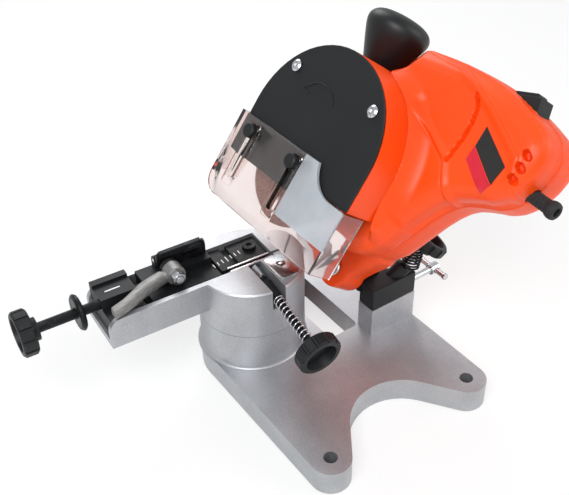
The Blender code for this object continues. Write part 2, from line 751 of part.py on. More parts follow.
def make_swivel():
    washer_z = SWIVEL_POCKET_H - GAP - SWIVEL_WASHER_T
    bore = SWIVEL_BOLT_R + RUN_FIT
    washer = [(SWIVEL_WASHER_R, SWIVEL_WASHER_T), (SWIVEL_WASHER_R, 0.0), (bore, 0.0),
              (bore, SWIVEL_WASHER_T)]
    turned("swivel_washer", washer, STEEL, origin=(0.0, 0.0, washer_z))
    head_top = washer_z - GAP
    nut_z = FLOOR_Z + GAP
    tip = nut_z + SWIVEL_NUT_H + EDGE_R
    bolt = rod("swivel_bolt", (0.0, 0.0, head_top - SWIVEL_HEAD_H / 2.0), (0.0, 0.0, tip),
               SWIVEL_BOLT_R, STEEL, steps=SMALL_ROUND)
    head = rod("swivel_head", (0.0, 0.0, head_top - SWIVEL_HEAD_H), (0.0, 0.0, head_top),
               SWIVEL_HEAD_R, None, steps=6)
    fuse(bolt, head)
    nut = rod("swivel_nut", (0.0, 0.0, nut_z), (0.0, 0.0, nut_z + SWIVEL_NUT_H), SWIVEL_NUT_R,
              STEEL, steps=6)
    cut(nut, rod("nut_bore", (0.0, 0.0, FLOOR_Z - OVERRUN), (0.0, 0.0, TURRET_TOP), bore, None,
                 steps=SMALL_ROUND))


def make_vise_body():
    low = JOINT_Z + GAP
    bevel = TURRET_BEVEL
    body = turned(
        "vise_body",
        [(0.0, TURRET_TOP), (PEDESTAL_R - bevel, TURRET_TOP), (PEDESTAL_R, TURRET_TOP - bevel),
         (PEDESTAL_R, low), (0.0, low)],
        CAST,
        VISE,
        steps=64,
    )
    nose = arc((ARM_END + ARM_NOSE_R, TURRET_TOP - ARM_NOSE_R), ARM_NOSE_R, math.pi, math.pi / 2.0, 6)
    side = [(0.0, TURRET_TOP), (0.0, ARM_UNDER), (ARM_END, ARM_UNDER)] + nose
    arm = plate("arm", side, -ARM_BACK, -ARM_FRONT, None, VISE, SIDE_VIEW)
    fuse(body, arm)
    top = TURRET_TOP + OVERRUN
    inner_front = ARM_FRONT + ARM_WALL
    channel = box(
        "channel", (ARM_END - OVERRUN, inner_front, FLOOR_Z), (GUIDE_START, ARM_BACK - ARM_WALL,
                top), None, VISE
    )
    recess = box("recess", (GUIDE_START - OVERRUN, inner_front, FLOOR_Z),
                 (RECESS_END, RECESS_BACK, top), None, VISE)
    half = CLAMP_SLOT_W / 2.0
    slot = box(
        "clamp_slot",
        (CLAMP_SLOT_X - half, -PEDESTAL_R - OVERRUN, TURRET_TOP - CLAMP_SLOT_D),
        (CLAMP_SLOT_X + half, inner_front + OVERRUN, top),
        None,
        VISE,
    )
    chain = box(
        "chain_exit",
        (RECESS_END - OVERRUN, RAIL_REAR_Y - CHAIN_SLOT, TURRET_TOP - RAIL_H / 2.0),
        (PEDESTAL_R + OVERRUN, RAIL_REAR_Y, top),
        None,
        VISE,
    )
    bore = rod("turret_bore", (0.0, 0.0, low - OVERRUN), (0.0, 0.0, top), SWIVEL_BOLT_R + RUN_FIT,
               None, VISE, SMALL_ROUND)
    well_top = TURRET_TOP - RAIL_H
    well = rod("nut_well", (0.0, 0.0, FLOOR_Z), (0.0, 0.0, well_top), SWIVEL_NUT_R + EDGE_R, None, VISE)
    cut(body, channel, recess, slot, chain, bore, well)


def make_rails():
    rail_z = TURRET_TOP - RAIL_H
    top = TURRET_TOP - EDGE_R / 2.0
    half = RAIL_L / 2.0
    box("rear_rail", (-half, RAIL_REAR_Y, rail_z), (half, RAIL_REAR_Y + RAIL_T, top), STEEL, VISE, bevel=GAP)
    jaw_y = RAIL_REAR_Y - CHAIN_SLOT
    jaw_front = ARM_FRONT + ARM_WALL + GAP
    box("clamp_jaw", (-half, jaw_front, rail_z), (half, jaw_y, top), STEEL, VISE, bevel=GAP)
    guide_low = RAIL_REAR_Y + RAIL_T + GAP
    guide_top = TURRET_TOP - GUIDE_DROP
    guide = box(
        "guide_block",
        (GUIDE_START + GAP, guide_low, FLOOR_Z + GAP),
        (RECESS_END - GAP, RECESS_BACK - GAP, guide_top),
        BLACK,
        VISE,
    )
    nut_room = SWIVEL_NUT_R + GUIDE_DROP
    cut(guide, rod("nut_room", (0.0, 0.0, FLOOR_Z), (0.0, 0.0, rail_z), nut_room, None, VISE))
    groove_x = GUIDE_START / 2.0 + GUIDE_SCREW_X / 2.0
    cut(
        guide,
        box(
            "guide_groove",
            (groove_x - GUIDE_SCREW_R, guide_low - OVERRUN, guide_top - GUIDE_DROP),
            (groove_x, RECESS_BACK, guide_top + OVERRUN),
            None,
            VISE,
        ),
    )
    centre = Vector((GUIDE_SCREW_X, GUIDE_SCREW_Y, guide_top))
    hole_low = centre - Vector((0.0, 0.0, GUIDE_SHANK_L + GAP))
    hole_high = centre + Vector((0.0, 0.0, OVERRUN))
    cut(guide, rod("guide_hole", hole_low, hole_high, GUIDE_SHANK_R + GAP, None, VISE, SMALL_ROUND))
    screw = turned(
        "guide_screw",
        [
            (0.0, GAP + GUIDE_SCREW_H),
            (GUIDE_SCREW_R, GAP + GUIDE_SCREW_H),
            (GUIDE_SCREW_R, GAP),
            (GUIDE_SHANK_R, GAP),
            (GUIDE_SHANK_R, -GUIDE_SHANK_L),
            (0.0, -GUIDE_SHANK_L),
        ],
        DARK_STEEL,
        VISE,
        centre,
        steps=SMALL_ROUND,
    )
    key = rod("guide_socket", centre + Vector((0.0, 0.0, EDGE_R)), hole_high, GUIDE_SHANK_R, None, VISE, 6)
    cut(screw, key)


CLAMP_DIR = Vector((0.0, -math.cos(CLAMP_DIP), -math.sin(CLAMP_DIP)))
CLAMP_FROM = Vector((CLAMP_SLOT_X, 0.0, TURRET_TOP - CLAMP_AXIS_DROP))


def on_clamp(distance):
    return CLAMP_FROM + CLAMP_DIR * distance


def make_clamp():
    collar_end = CLAMP_COLLAR_START + CLAMP_COLLAR_L
    spring_start = collar_end + GAP
    knob_at = spring_start + CLAMP_SPRING_L + GAP
    stud_end = knob_at + STAR_KNOB_HUB_H
    stud = rod("clamp_screw", on_clamp(CLAMP_STUD_START), on_clamp(stud_end), CLAMP_STUD_R, STEEL,
               VISE, SMALL_ROUND)
    flat_r = CLAMP_STUD_R + EDGE_R
    key_end = CLAMP_COLLAR_START - GAP - CLAMP_TRAVEL
    key = rod("clamp_key", on_clamp(CLAMP_STUD_START), on_clamp(key_end), flat_r, None, VISE, 4)
    fuse(stud, key)
    bore = CLAMP_STUD_R + GAP
    collar = [(CLAMP_COLLAR_R, CLAMP_COLLAR_L), (CLAMP_COLLAR_R, 0.0), (bore, 0.0), (bore, CLAMP_COLLAR_L)]
    turned("clamp_collar", collar, BLACK, VISE, on_clamp(CLAMP_COLLAR_START), CLAMP_DIR, SMALL_ROUND)
    coil("clamp_spring", on_clamp(spring_start), CLAMP_DIR, CLAMP_SPRING_R, CLAMP_WIRE_R,
         CLAMP_SPRING_L, CLAMP_TURNS, STEEL, VISE)
    star_knob("clamp_knob", on_clamp(knob_at), CLAMP_DIR, STAR_KNOB_R, STAR_KNOB_H, BLACK, VISE, bore)


def make_feed():
    """Fixed end block, feed screw with its lock nut, and the sliding carriage."""
    front = ARM_FRONT + ARM_WALL + GAP
    back = ARM_BACK - ARM_WALL - GAP
    under = FLOOR_Z + GAP
    feed_z = TURRET_TOP - FEED_Z_DROP
    block_top = TURRET_TOP + END_BLOCK_RISE
    x0 = END_BLOCK_X
    x1 = END_BLOCK_X + END_BLOCK_L
    end_view = [
        (front, under),
        (back, under),
        (back, TURRET_TOP + FIN_RISE),
        (back - FIN_T, TURRET_TOP + FIN_RISE),
        (back - FIN_T, block_top),
        (END_BLOCK_STEP_Y, block_top),
        (END_BLOCK_STEP_Y - EDGE_R, TURRET_TOP - END_BLOCK_STEP_DROP),
        (front, TURRET_TOP - END_BLOCK_STEP_DROP),
    ]
    block = plate("end_block", end_view, x0, x1, BLACK, VISE, END_VIEW)
    feed_bore = FEED_R + GAP
    cut(block, rod("feed_hole", (x0 - OVERRUN, FEED_Y, feed_z), (x1 + OVERRUN, FEED_Y, feed_z),
                   feed_bore, None, VISE, SMALL_ROUND))
    start_x = FEED_KNOB_X + GAP
    tip_x = CARRIAGE_X - GAP
    screw = rod("feed_screw", (tip_x, FEED_Y, feed_z), (start_x - STAR_KNOB_HUB_H, FEED_Y, feed_z),
                FEED_R, DARK_STEEL, VISE, SMALL_ROUND)
    star_knob("feed_knob", (FEED_KNOB_X, FEED_Y, feed_z), (-1.0, 0.0, 0.0), STAR_KNOB_R,
              STAR_KNOB_H, BLACK, VISE, feed_bore)
    rim = EDGE_R
    nut = [
        (LOCK_NUT_R - rim, LOCK_NUT_T),
        (LOCK_NUT_R, LOCK_NUT_T - rim),
        (LOCK_NUT_R, rim),
        (LOCK_NUT_R - rim, 0.0),
        (feed_bore, 0.0),
        (feed_bore, LOCK_NUT_T),
    ]
    turned("lock_nut", nut, DARK_STEEL, VISE, (LOCK_NUT_X, FEED_Y, feed_z), (-1.0, 0.0, 0.0), SMALL_ROUND)

    c0 = CARRIAGE_X
    c1 = CARRIAGE_X + CARRIAGE_L
    top = TURRET_TOP + CARRIAGE_RISE
    carriage = box("carriage", (c0, front, under), (c1, back, top), BLACK, VISE)
    groove_front = RAIL_REAR_Y - CHAIN_SLOT
    groove = box(
        "chain_groove",
        (c0 - OVERRUN, groove_front, TURRET_TOP - CHAIN_GROOVE_D),
        (c1 + OVERRUN, RAIL_REAR_Y, top + OVERRUN),
        None,
        VISE,
    )
    lug_y = LEVER_Y + LEVER_T + GAP
    pivot = Vector((LEVER_PIVOT_X, 0.0, TURRET_TOP + LEVER_PIVOT_RISE))
    lug_top = arc((pivot.x, pivot.z), LUG_L / 2.0, 0.0, math.pi, 8)
    lug_view = lug_top + [(pivot.x - LUG_L / 2.0, top - OVERRUN), (pivot.x + LUG_L / 2.0, top - OVERRUN)]
    lug = plate("lever_lug", lug_view, -lug_y - LUG_T, -lug_y, None, VISE, SIDE_VIEW)
    fuse(carriage, lug)
    near = PAWL_X - GAP - PAWL_EAR_T
    far = PAWL_X + PAWL_LENGTH + GAP
    for side, x in (("near", near), ("far", far)):
        ear_view = arc((PAWL_PIVOT_Y, TURRET_TOP + PAWL_PIVOT_RISE), PAWL_EYE_R, 0.0, math.pi, 6)
        ear_view += [(PAWL_PIVOT_Y - PAWL_EYE_R, top - OVERRUN), (PAWL_PIVOT_Y + PAWL_EYE_R, top - OVERRUN)]
        fuse(carriage, plate(f"pawl_ear_{side}", ear_view, x, x + PAWL_EAR_T, None, VISE, END_VIEW))
    step_z = TURRET_TOP - LEVER_HUB_R / 2.0
    step = box("carriage_step", (c0 - OVERRUN, front - OVERRUN, step_z),
               (c1 + OVERRUN, lug_y, top * 2.0), None, VISE)
    pin_bore = LEVER_PIN_R + RUN_FIT
    cut(carriage, groove, step)
    cut(
        carriage,
        rod("lever_pin_hole", pivot + Vector((0.0, lug_y - OVERRUN, 0.0)),
            pivot + Vector((0.0, lug_y + LUG_T + OVERRUN, 0.0)), pin_bore, None, VISE, SMALL_ROUND),
    )
    pawl_z = TURRET_TOP + PAWL_PIVOT_RISE
    cut(
        carriage,
        rod("pawl_pin_hole", (c0 - OVERRUN, PAWL_PIVOT_Y, pawl_z),
            (c1 + OVERRUN, PAWL_PIVOT_Y, pawl_z), PAWL_PIN_R + GAP, None, VISE, 12),
    )


def make_lever():
    """A cast lever: round hub on the stud, arm curving forward to a flat foot over the arm's front wall."""
    centre = Vector((LEVER_PIVOT_X, 0.0, TURRET_TOP + LEVER_PIVOT_RISE))
    middle = LEVER_Y + LEVER_T / 2.0
    stations = [
        (0.0, 0.0, LEVER_HUB_R * 0.45, LEVER_T * 0.42),
        (0.2, -LEVER_CRANK * 0.08, LEVER_HUB_R * 0.5, LEVER_T * 0.4),
        (0.5, -LEVER_CRANK * 0.39, LEVER_HUB_R * 0.42, LEVER_T * 0.36),
        (0.8, -LEVER_CRANK * 0.8, LEVER_HUB_R * 0.34, LEVER_T * 0.32),
        (1.0, -LEVER_CRANK, LEVER_FOOT_R * 0.8, LEVER_T * 0.32),
    ]
    rings = []
    for share, aside, tall, wide in stations:
        x = centre.x - LEVER_LENGTH * share
        z = centre.z - LEVER_DROP * share
        low, high = (middle + aside - wide, z - tall), (middle + aside + wide, z + tall)
        rings.append([Vector((x, y, h)) - centre for y, h in rounded(low, high, tall * 0.6, 2)])
    lever = loft("hold_down_lever", rings, LEVER_METAL, VISE)
    lever.matrix_local = Matrix.Translation(centre)
    far = LEVER_Y + LEVER_T
    hub = rod("lever_hub", centre + Vector((0.0, LEVER_Y, 0.0)), centre + Vector((0.0, far, 0.0)),
              LEVER_HUB_R, None, VISE)
    fuse(lever, hub)
    bore = LEVER_PIN_R + RUN_FIT
    nut_y = LEVER_Y - GAP - LEVER_NUT_T
    end_y = far + GAP + LUG_T
    low = centre + Vector((0.0, nut_y, 0.0))
    high = centre + Vector((0.0, end_y, 0.0))
    cut(lever, rod("lever_bore", low, high, bore, None, VISE, SMALL_ROUND))
    rod("lever_stud", low - Vector((0.0, EDGE_R, 0.0)), high, LEVER_PIN_R, STEEL, VISE, SMALL_ROUND)
    nut = rod("lever_nut", low, centre + Vector((0.0, LEVER_Y - GAP, 0.0)), LEVER_NUT_R, STEEL, VISE, 6)
    cut(nut, rod("lever_nut_bore", low - Vector((0.0, OVERRUN, 0.0)), high, LEVER_PIN_R + GAP,
                 None, VISE, SMALL_ROUND))


def make_pawl():
    pivot = (PAWL_PIVOT_Y, TURRET_TOP + PAWL_PIVOT_RISE)
    x0 = PAWL_X
    x1 = PAWL_X + PAWL_LENGTH
    crest = (pivot[0] - PAWL_REACH / 3.0, pivot[1] + PAWL_CREST + PAWL_T)
    toe = (pivot[0] - PAWL_REACH, pivot[1] + PAWL_CREST)
    view = arc(pivot, PAWL_EYE_R, -0.75 * math.pi, 0.25 * math.pi, 8)
    view += [crest, toe, (toe[0], toe[1] - PAWL_T), (pivot[0] - PAWL_EYE_R, pivot[1] + PAWL_T / 2.0)]
    pawl = plate("stop_pawl", view, x0, x1, DARK_STEEL, VISE, END_VIEW, pivot)
    cut(pawl, rod("pawl_bore", (x0 - OVERRUN, *pivot), (x1 + OVERRUN, *pivot),
                  PAWL_PIN_R + RUN_FIT, None, VISE, 12))
    middle = (x0 + x1) / 2.0
    slot_low = (middle, toe[0] - OVERRUN, pivot[1] + PAWL_EYE_R)
    slot_high = (middle + PAWL_SLOT_W, crest[0], crest[1] + OVERRUN)
    cut(pawl, box("pawl_slot", slot_low, slot_high, None, VISE))
    low = (x0 - GAP - PAWL_EAR_T, *pivot)
    high = (x1 + GAP + PAWL_EAR_T, *pivot)
    rod("pawl_pin", low, high, PAWL_PIN_R, STEEL, VISE, 12)


def head_point(d, a, v):
    return Vector((d, a, v))


def guard_outline(grow=0.0):
    """Round top with straight sides, cut level at the bottom."""
    r = GUARD_R + grow
    points = arc((GUARD_A, GUARD_V), r, 0.0, math.pi, 28)
    step = GUARD_A - r * 0.6
    points += [(GUARD_A - r, GUARD_STEP - grow), (step, GUARD_STEP - grow),
               (step + GUARD_RAMP, GUARD_BOTTOM - grow)]
    points += [(GUARD_A + r, GUARD_BOTTOM - grow)]
    return points


def cover_screw_places():
    for side, angle in (("left", COVER_SCREW_ANGLE), ("right", math.pi - COVER_SCREW_ANGLE)):
        across = GUARD_A + COVER_SCREW_RADIUS * math.cos(angle)
        yield side, across, GUARD_V + COVER_SCREW_RADIUS * math.sin(angle)


def make_guard():
    guard = plate("guard_body", guard_outline(), GUARD_FRONT, GUARD_BACK, BLACK, HEAD, WHEEL_PLANE)
    inner = arc((GUARD_A, GUARD_V), GUARD_R - GUARD_WALL, 0.0, math.pi, 28)
    half = GUARD_R - GUARD_WALL
    inner += [(GUARD_A - half, GUARD_BOTTOM - OVERRUN), (GUARD_A + half, GUARD_BOTTOM - OVERRUN)]
    cut(guard, plate("guard_hollow", inner, GUARD_FRONT - OVERRUN, GUARD_BACK - GUARD_WALL, None,
                     HEAD, WHEEL_PLANE))
    eye_low = head_point(GUARD_BACK - GUARD_WALL - OVERRUN, SPINDLE_A, SPINDLE_V)
    eye_high = head_point(GUARD_BACK + OVERRUN, SPINDLE_A, SPINDLE_V)
    cut(guard, rod("guard_eye", eye_low, eye_high, SPINDLE_WINDOW_R, None, HEAD))
    cover_front = GUARD_FRONT - GAP - COVER_T
    cover = plate("guard_cover", guard_outline(), cover_front, GUARD_FRONT - GAP, BLACK, HEAD,
                  WHEEL_PLANE, bevel=COVER_EDGE)
    for side, a, v in cover_screw_places():
        boss = rod(f"boss_{side}", head_point(GUARD_FRONT, a, v),
                   head_point(GUARD_BACK - EDGE_R, a, v), COVER_BOSS_R, None, HEAD, SMALL_ROUND)
        fuse(guard, boss)
        hole_r = COVER_SCREW_R + GAP
        tip = cover_front - GAP + COVER_SCREW_L
        cut(guard, rod(f"boss_hole_{side}", head_point(GUARD_FRONT - OVERRUN, a, v),
                       head_point(tip + GAP, a, v), hole_r, None, HEAD, SMALL_ROUND))
        cut(cover, rod(f"cover_hole_{side}", head_point(cover_front - OVERRUN, a, v),
                       head_point(GUARD_FRONT + OVERRUN, a, v), hole_r, None, HEAD, SMALL_ROUND))
        screw = turned(
            f"cover_screw_{side}",
            [
                (0.0, COVER_SCREW_HEAD_H),
                (COVER_SCREW_HEAD_R * 0.7, COVER_SCREW_HEAD_H),
                (COVER_SCREW_HEAD_R, COVER_SCREW_HEAD_H / 2.0),
                (COVER_SCREW_HEAD_R, 0.0),
                (COVER_SCREW_R, 0.0),
                (COVER_SCREW_R, -COVER_SCREW_L),
                (0.0, -COVER_SCREW_L),
            ],
            STEEL,
            HEAD,
            head_point(cover_front - GAP, a, v),
            (-1.0, 0.0, 0.0),
            SMALL_ROUND,
        )
        socket_high = head_point(cover_front - GAP - COVER_SCREW_HEAD_H - OVERRUN, a, v)
        socket_low = head_point(cover_front - GAP - COVER_SCREW_HEAD_H / 3.0, a, v)
        cut(screw, rod(f"cover_socket_{side}", socket_high, socket_low, COVER_SCREW_R, None, HEAD, 6))
    for i, a in enumerate((SLOT_LEFT_A, SLOT_RIGHT_A)):
        low = head_point(cover_front - OVERRUN, a, VISOR_KNOB_V)
        high = head_point(GUARD_FRONT + OVERRUN, a, VISOR_KNOB_V)
        cut(cover, rod(f"stud_hole_{i}", low, high, VISOR_STUD_R + GAP, None, HEAD, SMALL_ROUND))


VISOR_BACK = GUARD_FRONT - GAP - COVER_T - VISOR_GAP
VISOR_FRONT = VISOR_BACK - VISOR_T


def make_visor():
    """A clear sheet in front of the cover, with a flange along each side and two raised slots."""
    r = VISOR_CORNER_R
    outline = arc((VISOR_LEFT - r, VISOR_BOTTOM + r), r, 0.0, -math.pi / 2.0, 5)
    outline += [(VISOR_RIGHT, VISOR_BOTTOM), (VISOR_RIGHT, VISOR_SHOULDER_V)]
    lobe = (LOBE_A, LOBE_V)
    outline += arc(lobe, LOBE_R, LOBE_FROM, LOBE_TO, 7)
    outline += [(VISOR_LEFT, VISOR_TOP)]
    visor = plate("visor", outline, VISOR_FRONT, VISOR_BACK, CLEAR, HEAD, WHEEL_PLANE)
    lap = VISOR_T
    left = box(
        "visor_flange_left",
        (VISOR_FRONT + lap / 2.0, VISOR_LEFT - lap, VISOR_BOTTOM + r),
        (VISOR_BACK + VISOR_FLANGE_LEFT, VISOR_LEFT, VISOR_TOP),
        None,
        HEAD,
    )
    right = box(
        "visor_flange_right",
        (VISOR_FRONT + lap / 2.0, VISOR_RIGHT, VISOR_BOTTOM),
        (VISOR_BACK + VISOR_FLANGE_RIGHT, VISOR_RIGHT + lap, VISOR_SHOULDER_V),
        None,
        HEAD,
    )
    fuse(visor, left, right)
    for i, a in enumerate((SLOT_LEFT_A, SLOT_RIGHT_A)):
        wide = SLOT_HALF + SLOT_RIM
        rim = rounded((a - wide, SLOT_BOTTOM - wide), (a + wide, SLOT_TOP + SLOT_RIM), SLOT_RIM, 2)
        rail = plate(f"slot_rim_{i}", rim, VISOR_FRONT - SLOT_RAISE, VISOR_BACK - VISOR_T / 2.0,
                     None, HEAD, WHEEL_PLANE)
        hole = rounded((a - SLOT_HALF, SLOT_BOTTOM), (a + SLOT_HALF, SLOT_TOP), SLOT_HALF * 0.9, 3)
        opening = plate(f"slot_{i}", hole, VISOR_FRONT - OVERRUN, VISOR_BACK + OVERRUN, None, HEAD,
                        WHEEL_PLANE)
        fuse(visor, rail)
        cut(visor, opening)
        side = ("left", "right")[i]
        seat = VISOR_FRONT - SLOT_RAISE - GAP
        bevel = EDGE_R
        turned(
            f"visor_knob_{side}",
            [
                (0.0, VISOR_KNOB_H),
                (VISOR_KNOB_R - bevel, VISOR_KNOB_H),
                (VISOR_KNOB_R, VISOR_KNOB_H - bevel),
                (VISOR_KNOB_R, 0.0),
                (VISOR_STUD_R, 0.0),
                (VISOR_STUD_R, -VISOR_STUD_L),
                (0.0, -VISOR_STUD_L),
            ],
            BLACK,
            HEAD,
            head_point(seat, a, VISOR_KNOB_V),
            (-1.0, 0.0, 0.0),
            SMALL_ROUND,
        )


def make_wheel_set():
    """Stone, its two flanges, the nut and the spindle, all on one axis."""
    axis = (-1.0, 0.0, 0.0)
    centre = head_point(0.0, SPINDLE_A, SPINDLE_V)
    half = WHEEL_T / 2.0
    hub_r = WHEEL_BORE_R - GAP / 2.0
    bore = SPINDLE_R + GAP / 2.0
    turned("grinding_wheel", [(WHEEL_R, half), (WHEEL_R, -half), (WHEEL_BORE_R, -half),
                              (WHEEL_BORE_R, half)], STONE, HEAD, centre, axis, 72)
    seat = half + GAP / 2.0
    turned(
        "inner_flange",
        [(hub_r, half - GAP), (hub_r, -seat), (FLANGE_R, -seat), (FLANGE_R, -seat - FLANGE_T),
         (bore, -seat - FLANGE_T), (bore, half - GAP)],
        STEEL,
        HEAD,
        centre,
        axis,
    )
    turned("outer_flange", [(FLANGE_R, seat + FLANGE_T), (FLANGE_R, seat), (bore, seat),
                            (bore, seat + FLANGE_T)], STEEL, HEAD, centre, axis)
    nut_at = seat + FLANGE_T + GAP / 2.0
    nut = rod("spindle_nut", centre - Vector((nut_at, 0.0, 0.0)),
              centre - Vector((nut_at + SPINDLE_NUT_T, 0.0, 0.0)), SPINDLE_NUT_R, STEEL, HEAD, 6)
    cut(nut, rod("spindle_nut_bore", centre, centre - Vector((nut_at + SPINDLE_NUT_T + OVERRUN,
            0.0, 0.0)), bore, None, HEAD, SMALL_ROUND))
    tip = nut_at + SPINDLE_NUT_T + SPINDLE_TAIL
    tail = GEARBOX_REAR + BEARING_T
    rod("spindle", centre - Vector((tip, 0.0, 0.0)), centre + Vector((tail, 0.0, 0.0)), SPINDLE_R,
        STEEL, HEAD, SMALL_ROUND)
    race = [(BEARING_R, BEARING_T), (BEARING_R, 0.0), (bore, 0.0), (bore, BEARING_T)]
    front_d = GUARD_BACK + GAP * 5.0
    turned("spindle_bearing_front", race, STEEL, HEAD, centre + Vector((front_d, 0.0, 0.0)),
           (1.0, 0.0, 0.0), SMALL_ROUND)
    turned("spindle_bearing_rear", race, STEEL, HEAD,
           centre + Vector((GEARBOX_REAR + GAP, 0.0, 0.0)), (1.0, 0.0, 0.0), SMALL_ROUND)
    ratio = PINION_TEETH / GEAR_TEETH
    face = HOUSING_SPLIT + GEAR_R * ratio + GAP
    root = HOUSING_SPLIT + GEAR_R / 2.0 * ratio + GAP
    back = GEARBOX_REAR - GAP
    hub = GEAR_R / 2.0
    profile = [
        (bore, root),
        (hub, root),
        (GEAR_R, face),
        (GEAR_R, face + FLANGE_T),
        (hub, back),
        (bore, back),
    ]
    turned("bevel_gear", profile[::-1], STEEL, HEAD, head_point(0.0, SPINDLE_A, SPINDLE_V), (1.0, 0.0, 0.0))


MOTOR_DIR = Vector((0.0, -math.cos(MOTOR_RISE), math.sin(MOTOR_RISE)))


def on_motor(s):
    return head_point(HOUSING_SPLIT, SPINDLE_A, SPINDLE_V) + MOTOR_DIR * s


PINION_S = GEAR_R / 2.0 + 4.5 * MM
PINION_L = 6.0 * MM
FRONT_BEARING_S = 30.0 * MM
MOTOR_BEARING_T = 7.0 * MM
FAN_S = 50.0 * MM
FAN_T = 9.0 * MM
COMMUTATOR_S = 120.0 * MM
COMMUTATOR_L = 11.0 * MM
REAR_BEARING_S = 137.0 * MM


def make_motor():
    ratio = PINION_TEETH / GEAR_TEETH
    r0 = PINION_S * ratio - 2.0 * GAP
    r1 = (PINION_S + PINION_L) * ratio - 2.0 * GAP
    shaft = rod("armature", on_motor(PINION_S + PINION_L + GAP),
                on_motor(REAR_BEARING_S + MOTOR_BEARING_T), SHAFT_R, DARK_STEEL, HEAD, SMALL_ROUND)
    core = rod("core", on_motor(STATOR_S + EDGE_R), on_motor(STATOR_S + STATOR_L - EDGE_R),
               ARMATURE_R, None, HEAD)
    commutator = rod("commutator", on_motor(COMMUTATOR_S), on_motor(COMMUTATOR_S + COMMUTATOR_L),
                     COMMUTATOR_R, None, HEAD, SMALL_ROUND)
    fuse(shaft, core, commutator)
    rod("pinion", on_motor(PINION_S), on_motor(PINION_S + PINION_L), r0, STEEL, HEAD, SMALL_ROUND, r1)
    ring = [(STATOR_R, STATOR_L), (STATOR_R, 0.0), (STATOR_BORE_R, 0.0), (STATOR_BORE_R, STATOR_L)]
    turned("stator", ring, COPPER, HEAD, on_motor(STATOR_S), MOTOR_DIR)
    bore = SHAFT_R + GAP
    race = [(MOTOR_BEARING_R, MOTOR_BEARING_T), (MOTOR_BEARING_R, 0.0), (bore, 0.0), (bore, MOTOR_BEARING_T)]
    turned("motor_bearing_front", race, STEEL, HEAD, on_motor(FRONT_BEARING_S), MOTOR_DIR, SMALL_ROUND)
    turned("motor_bearing_rear", race, STEEL, HEAD, on_motor(REAR_BEARING_S), MOTOR_DIR, SMALL_ROUND)
    fan = turned(
        "cooling_fan",
        [(COMMUTATOR_R, FAN_T), (COMMUTATOR_R, FAN_T / 3.0), (FAN_R, FAN_T / 3.0), (FAN_R, 0.0),
         (bore, 0.0), (bore, FAN_T)],
        BLACK,
        HEAD,
        on_motor(FAN_S),
        MOTOR_DIR,
    )
    blades = 8
    for i in range(blades):
        angle = 2.0 * math.pi * i / blades
        turn = along(on_motor(FAN_S), MOTOR_DIR) @ Matrix.Rotation(angle, 4, "Z")
        blade = box(
            f"fan_blade_{i}",
            (COMMUTATOR_R - EDGE_R, -EDGE_R / 2.0, FAN_T / 6.0),
            (FAN_R - EDGE_R / 2.0, EDGE_R / 2.0, FAN_T - EDGE_R),
            None,
            HEAD,
            matrix=turn,
        )
        fuse(fan, blade)


HOUSING_POINTS = [
    (14.0 * MM, 187.0 * MM),
    (-7.0 * MM, 199.4 * MM),
    (-32.0 * MM, 204.2 * MM),
    (-56.0 * MM, 206.3 * MM),
    (-82.0 * MM, 206.5 * MM),
    (-102.7 * MM, 204.6 * MM),
    (-128.0 * MM, 198.5 * MM),
    (-148.0 * MM, 191.5 * MM),
    (-158.0 * MM, 181.0 * MM),
    (-159.4 * MM, 164.5 * MM),
    (-153.0 * MM, 144.5 * MM),
    (-141.5 * MM, 131.5 * MM),
    (-125.0 * MM, 126.0 * MM),
    (-110.0 * MM, 119.0 * MM),
    (-98.4 * MM, 104.0 * MM),
    (-87.0 * MM, 80.0 * MM),
    (-77.0 * MM, 60.0 * MM),
    (-60.0 * MM, 47.5 * MM),
    (-35.0 * MM, 44.5 * MM),
    (-10.0 * MM, 45.5 * MM),
    (14.0 * MM, 50.0 * MM),
    (35.0 * MM, 60.0 * MM),
    (45.0 * MM, 77.0 * MM),
    (44.5 * MM, 98.0 * MM),
    (38.0 * MM, 125.0 * MM),
    (31.5 * MM, 150.0 * MM),
    (27.0 * MM, 171.0 * MM),
]


def smoothed(points):
    """One round of corner cutting, which doubles the points."""
    out = []
    for (x0, y0), (x1, y1) in zip(points, points[1:] + points[:1]):
        out.append((x0 * 0.75 + x1 * 0.25, y0 * 0.75 + y1 * 0.25))
        out.append((x0 * 0.25 + x1 * 0.75, y0 * 0.25 + y1 * 0.75))
    return out


def inset(points, amount):
    """Move every corner of a counter-clockwise outline inwards."""
    out = []
    count = len(points)
    for i, (x, y) in enumerate(points):
        before = Vector((x - points[i - 1][0], y - points[i - 1][1])).normalized()
        after = Vector((points[(i + 1) % count][0] - x, points[(i + 1) % count][1] - y)).normalized()
        heading = (before + after).normalized()
        out.append((x - heading.y * amount, y + heading.x * amount))
    return out


def half_housing(name, split, face):
    """One shell: straight from the split line, then rounded in towards its outer face."""
    outline = smoothed(HOUSING_POINTS)
    sign = 1.0 if face > split else -1.0
    shoulder = face - sign * HOUSING_ROUND
    rings = [(split, 0.0), (shoulder, 0.0)]
    for i in range(1, HOUSING_ROUND_STEPS + 1):
        turn = math.pi / 2.0 * i / HOUSING_ROUND_STEPS
        rings.append((shoulder + sign * HOUSING_ROUND * math.sin(turn),
                      HOUSING_ROUND * (1.0 - math.cos(turn))))
    return loft(name, [[head_point(d, a, v) for a, v in inset(outline, depth)] for d,
                       depth in rings], ORANGE, HEAD)


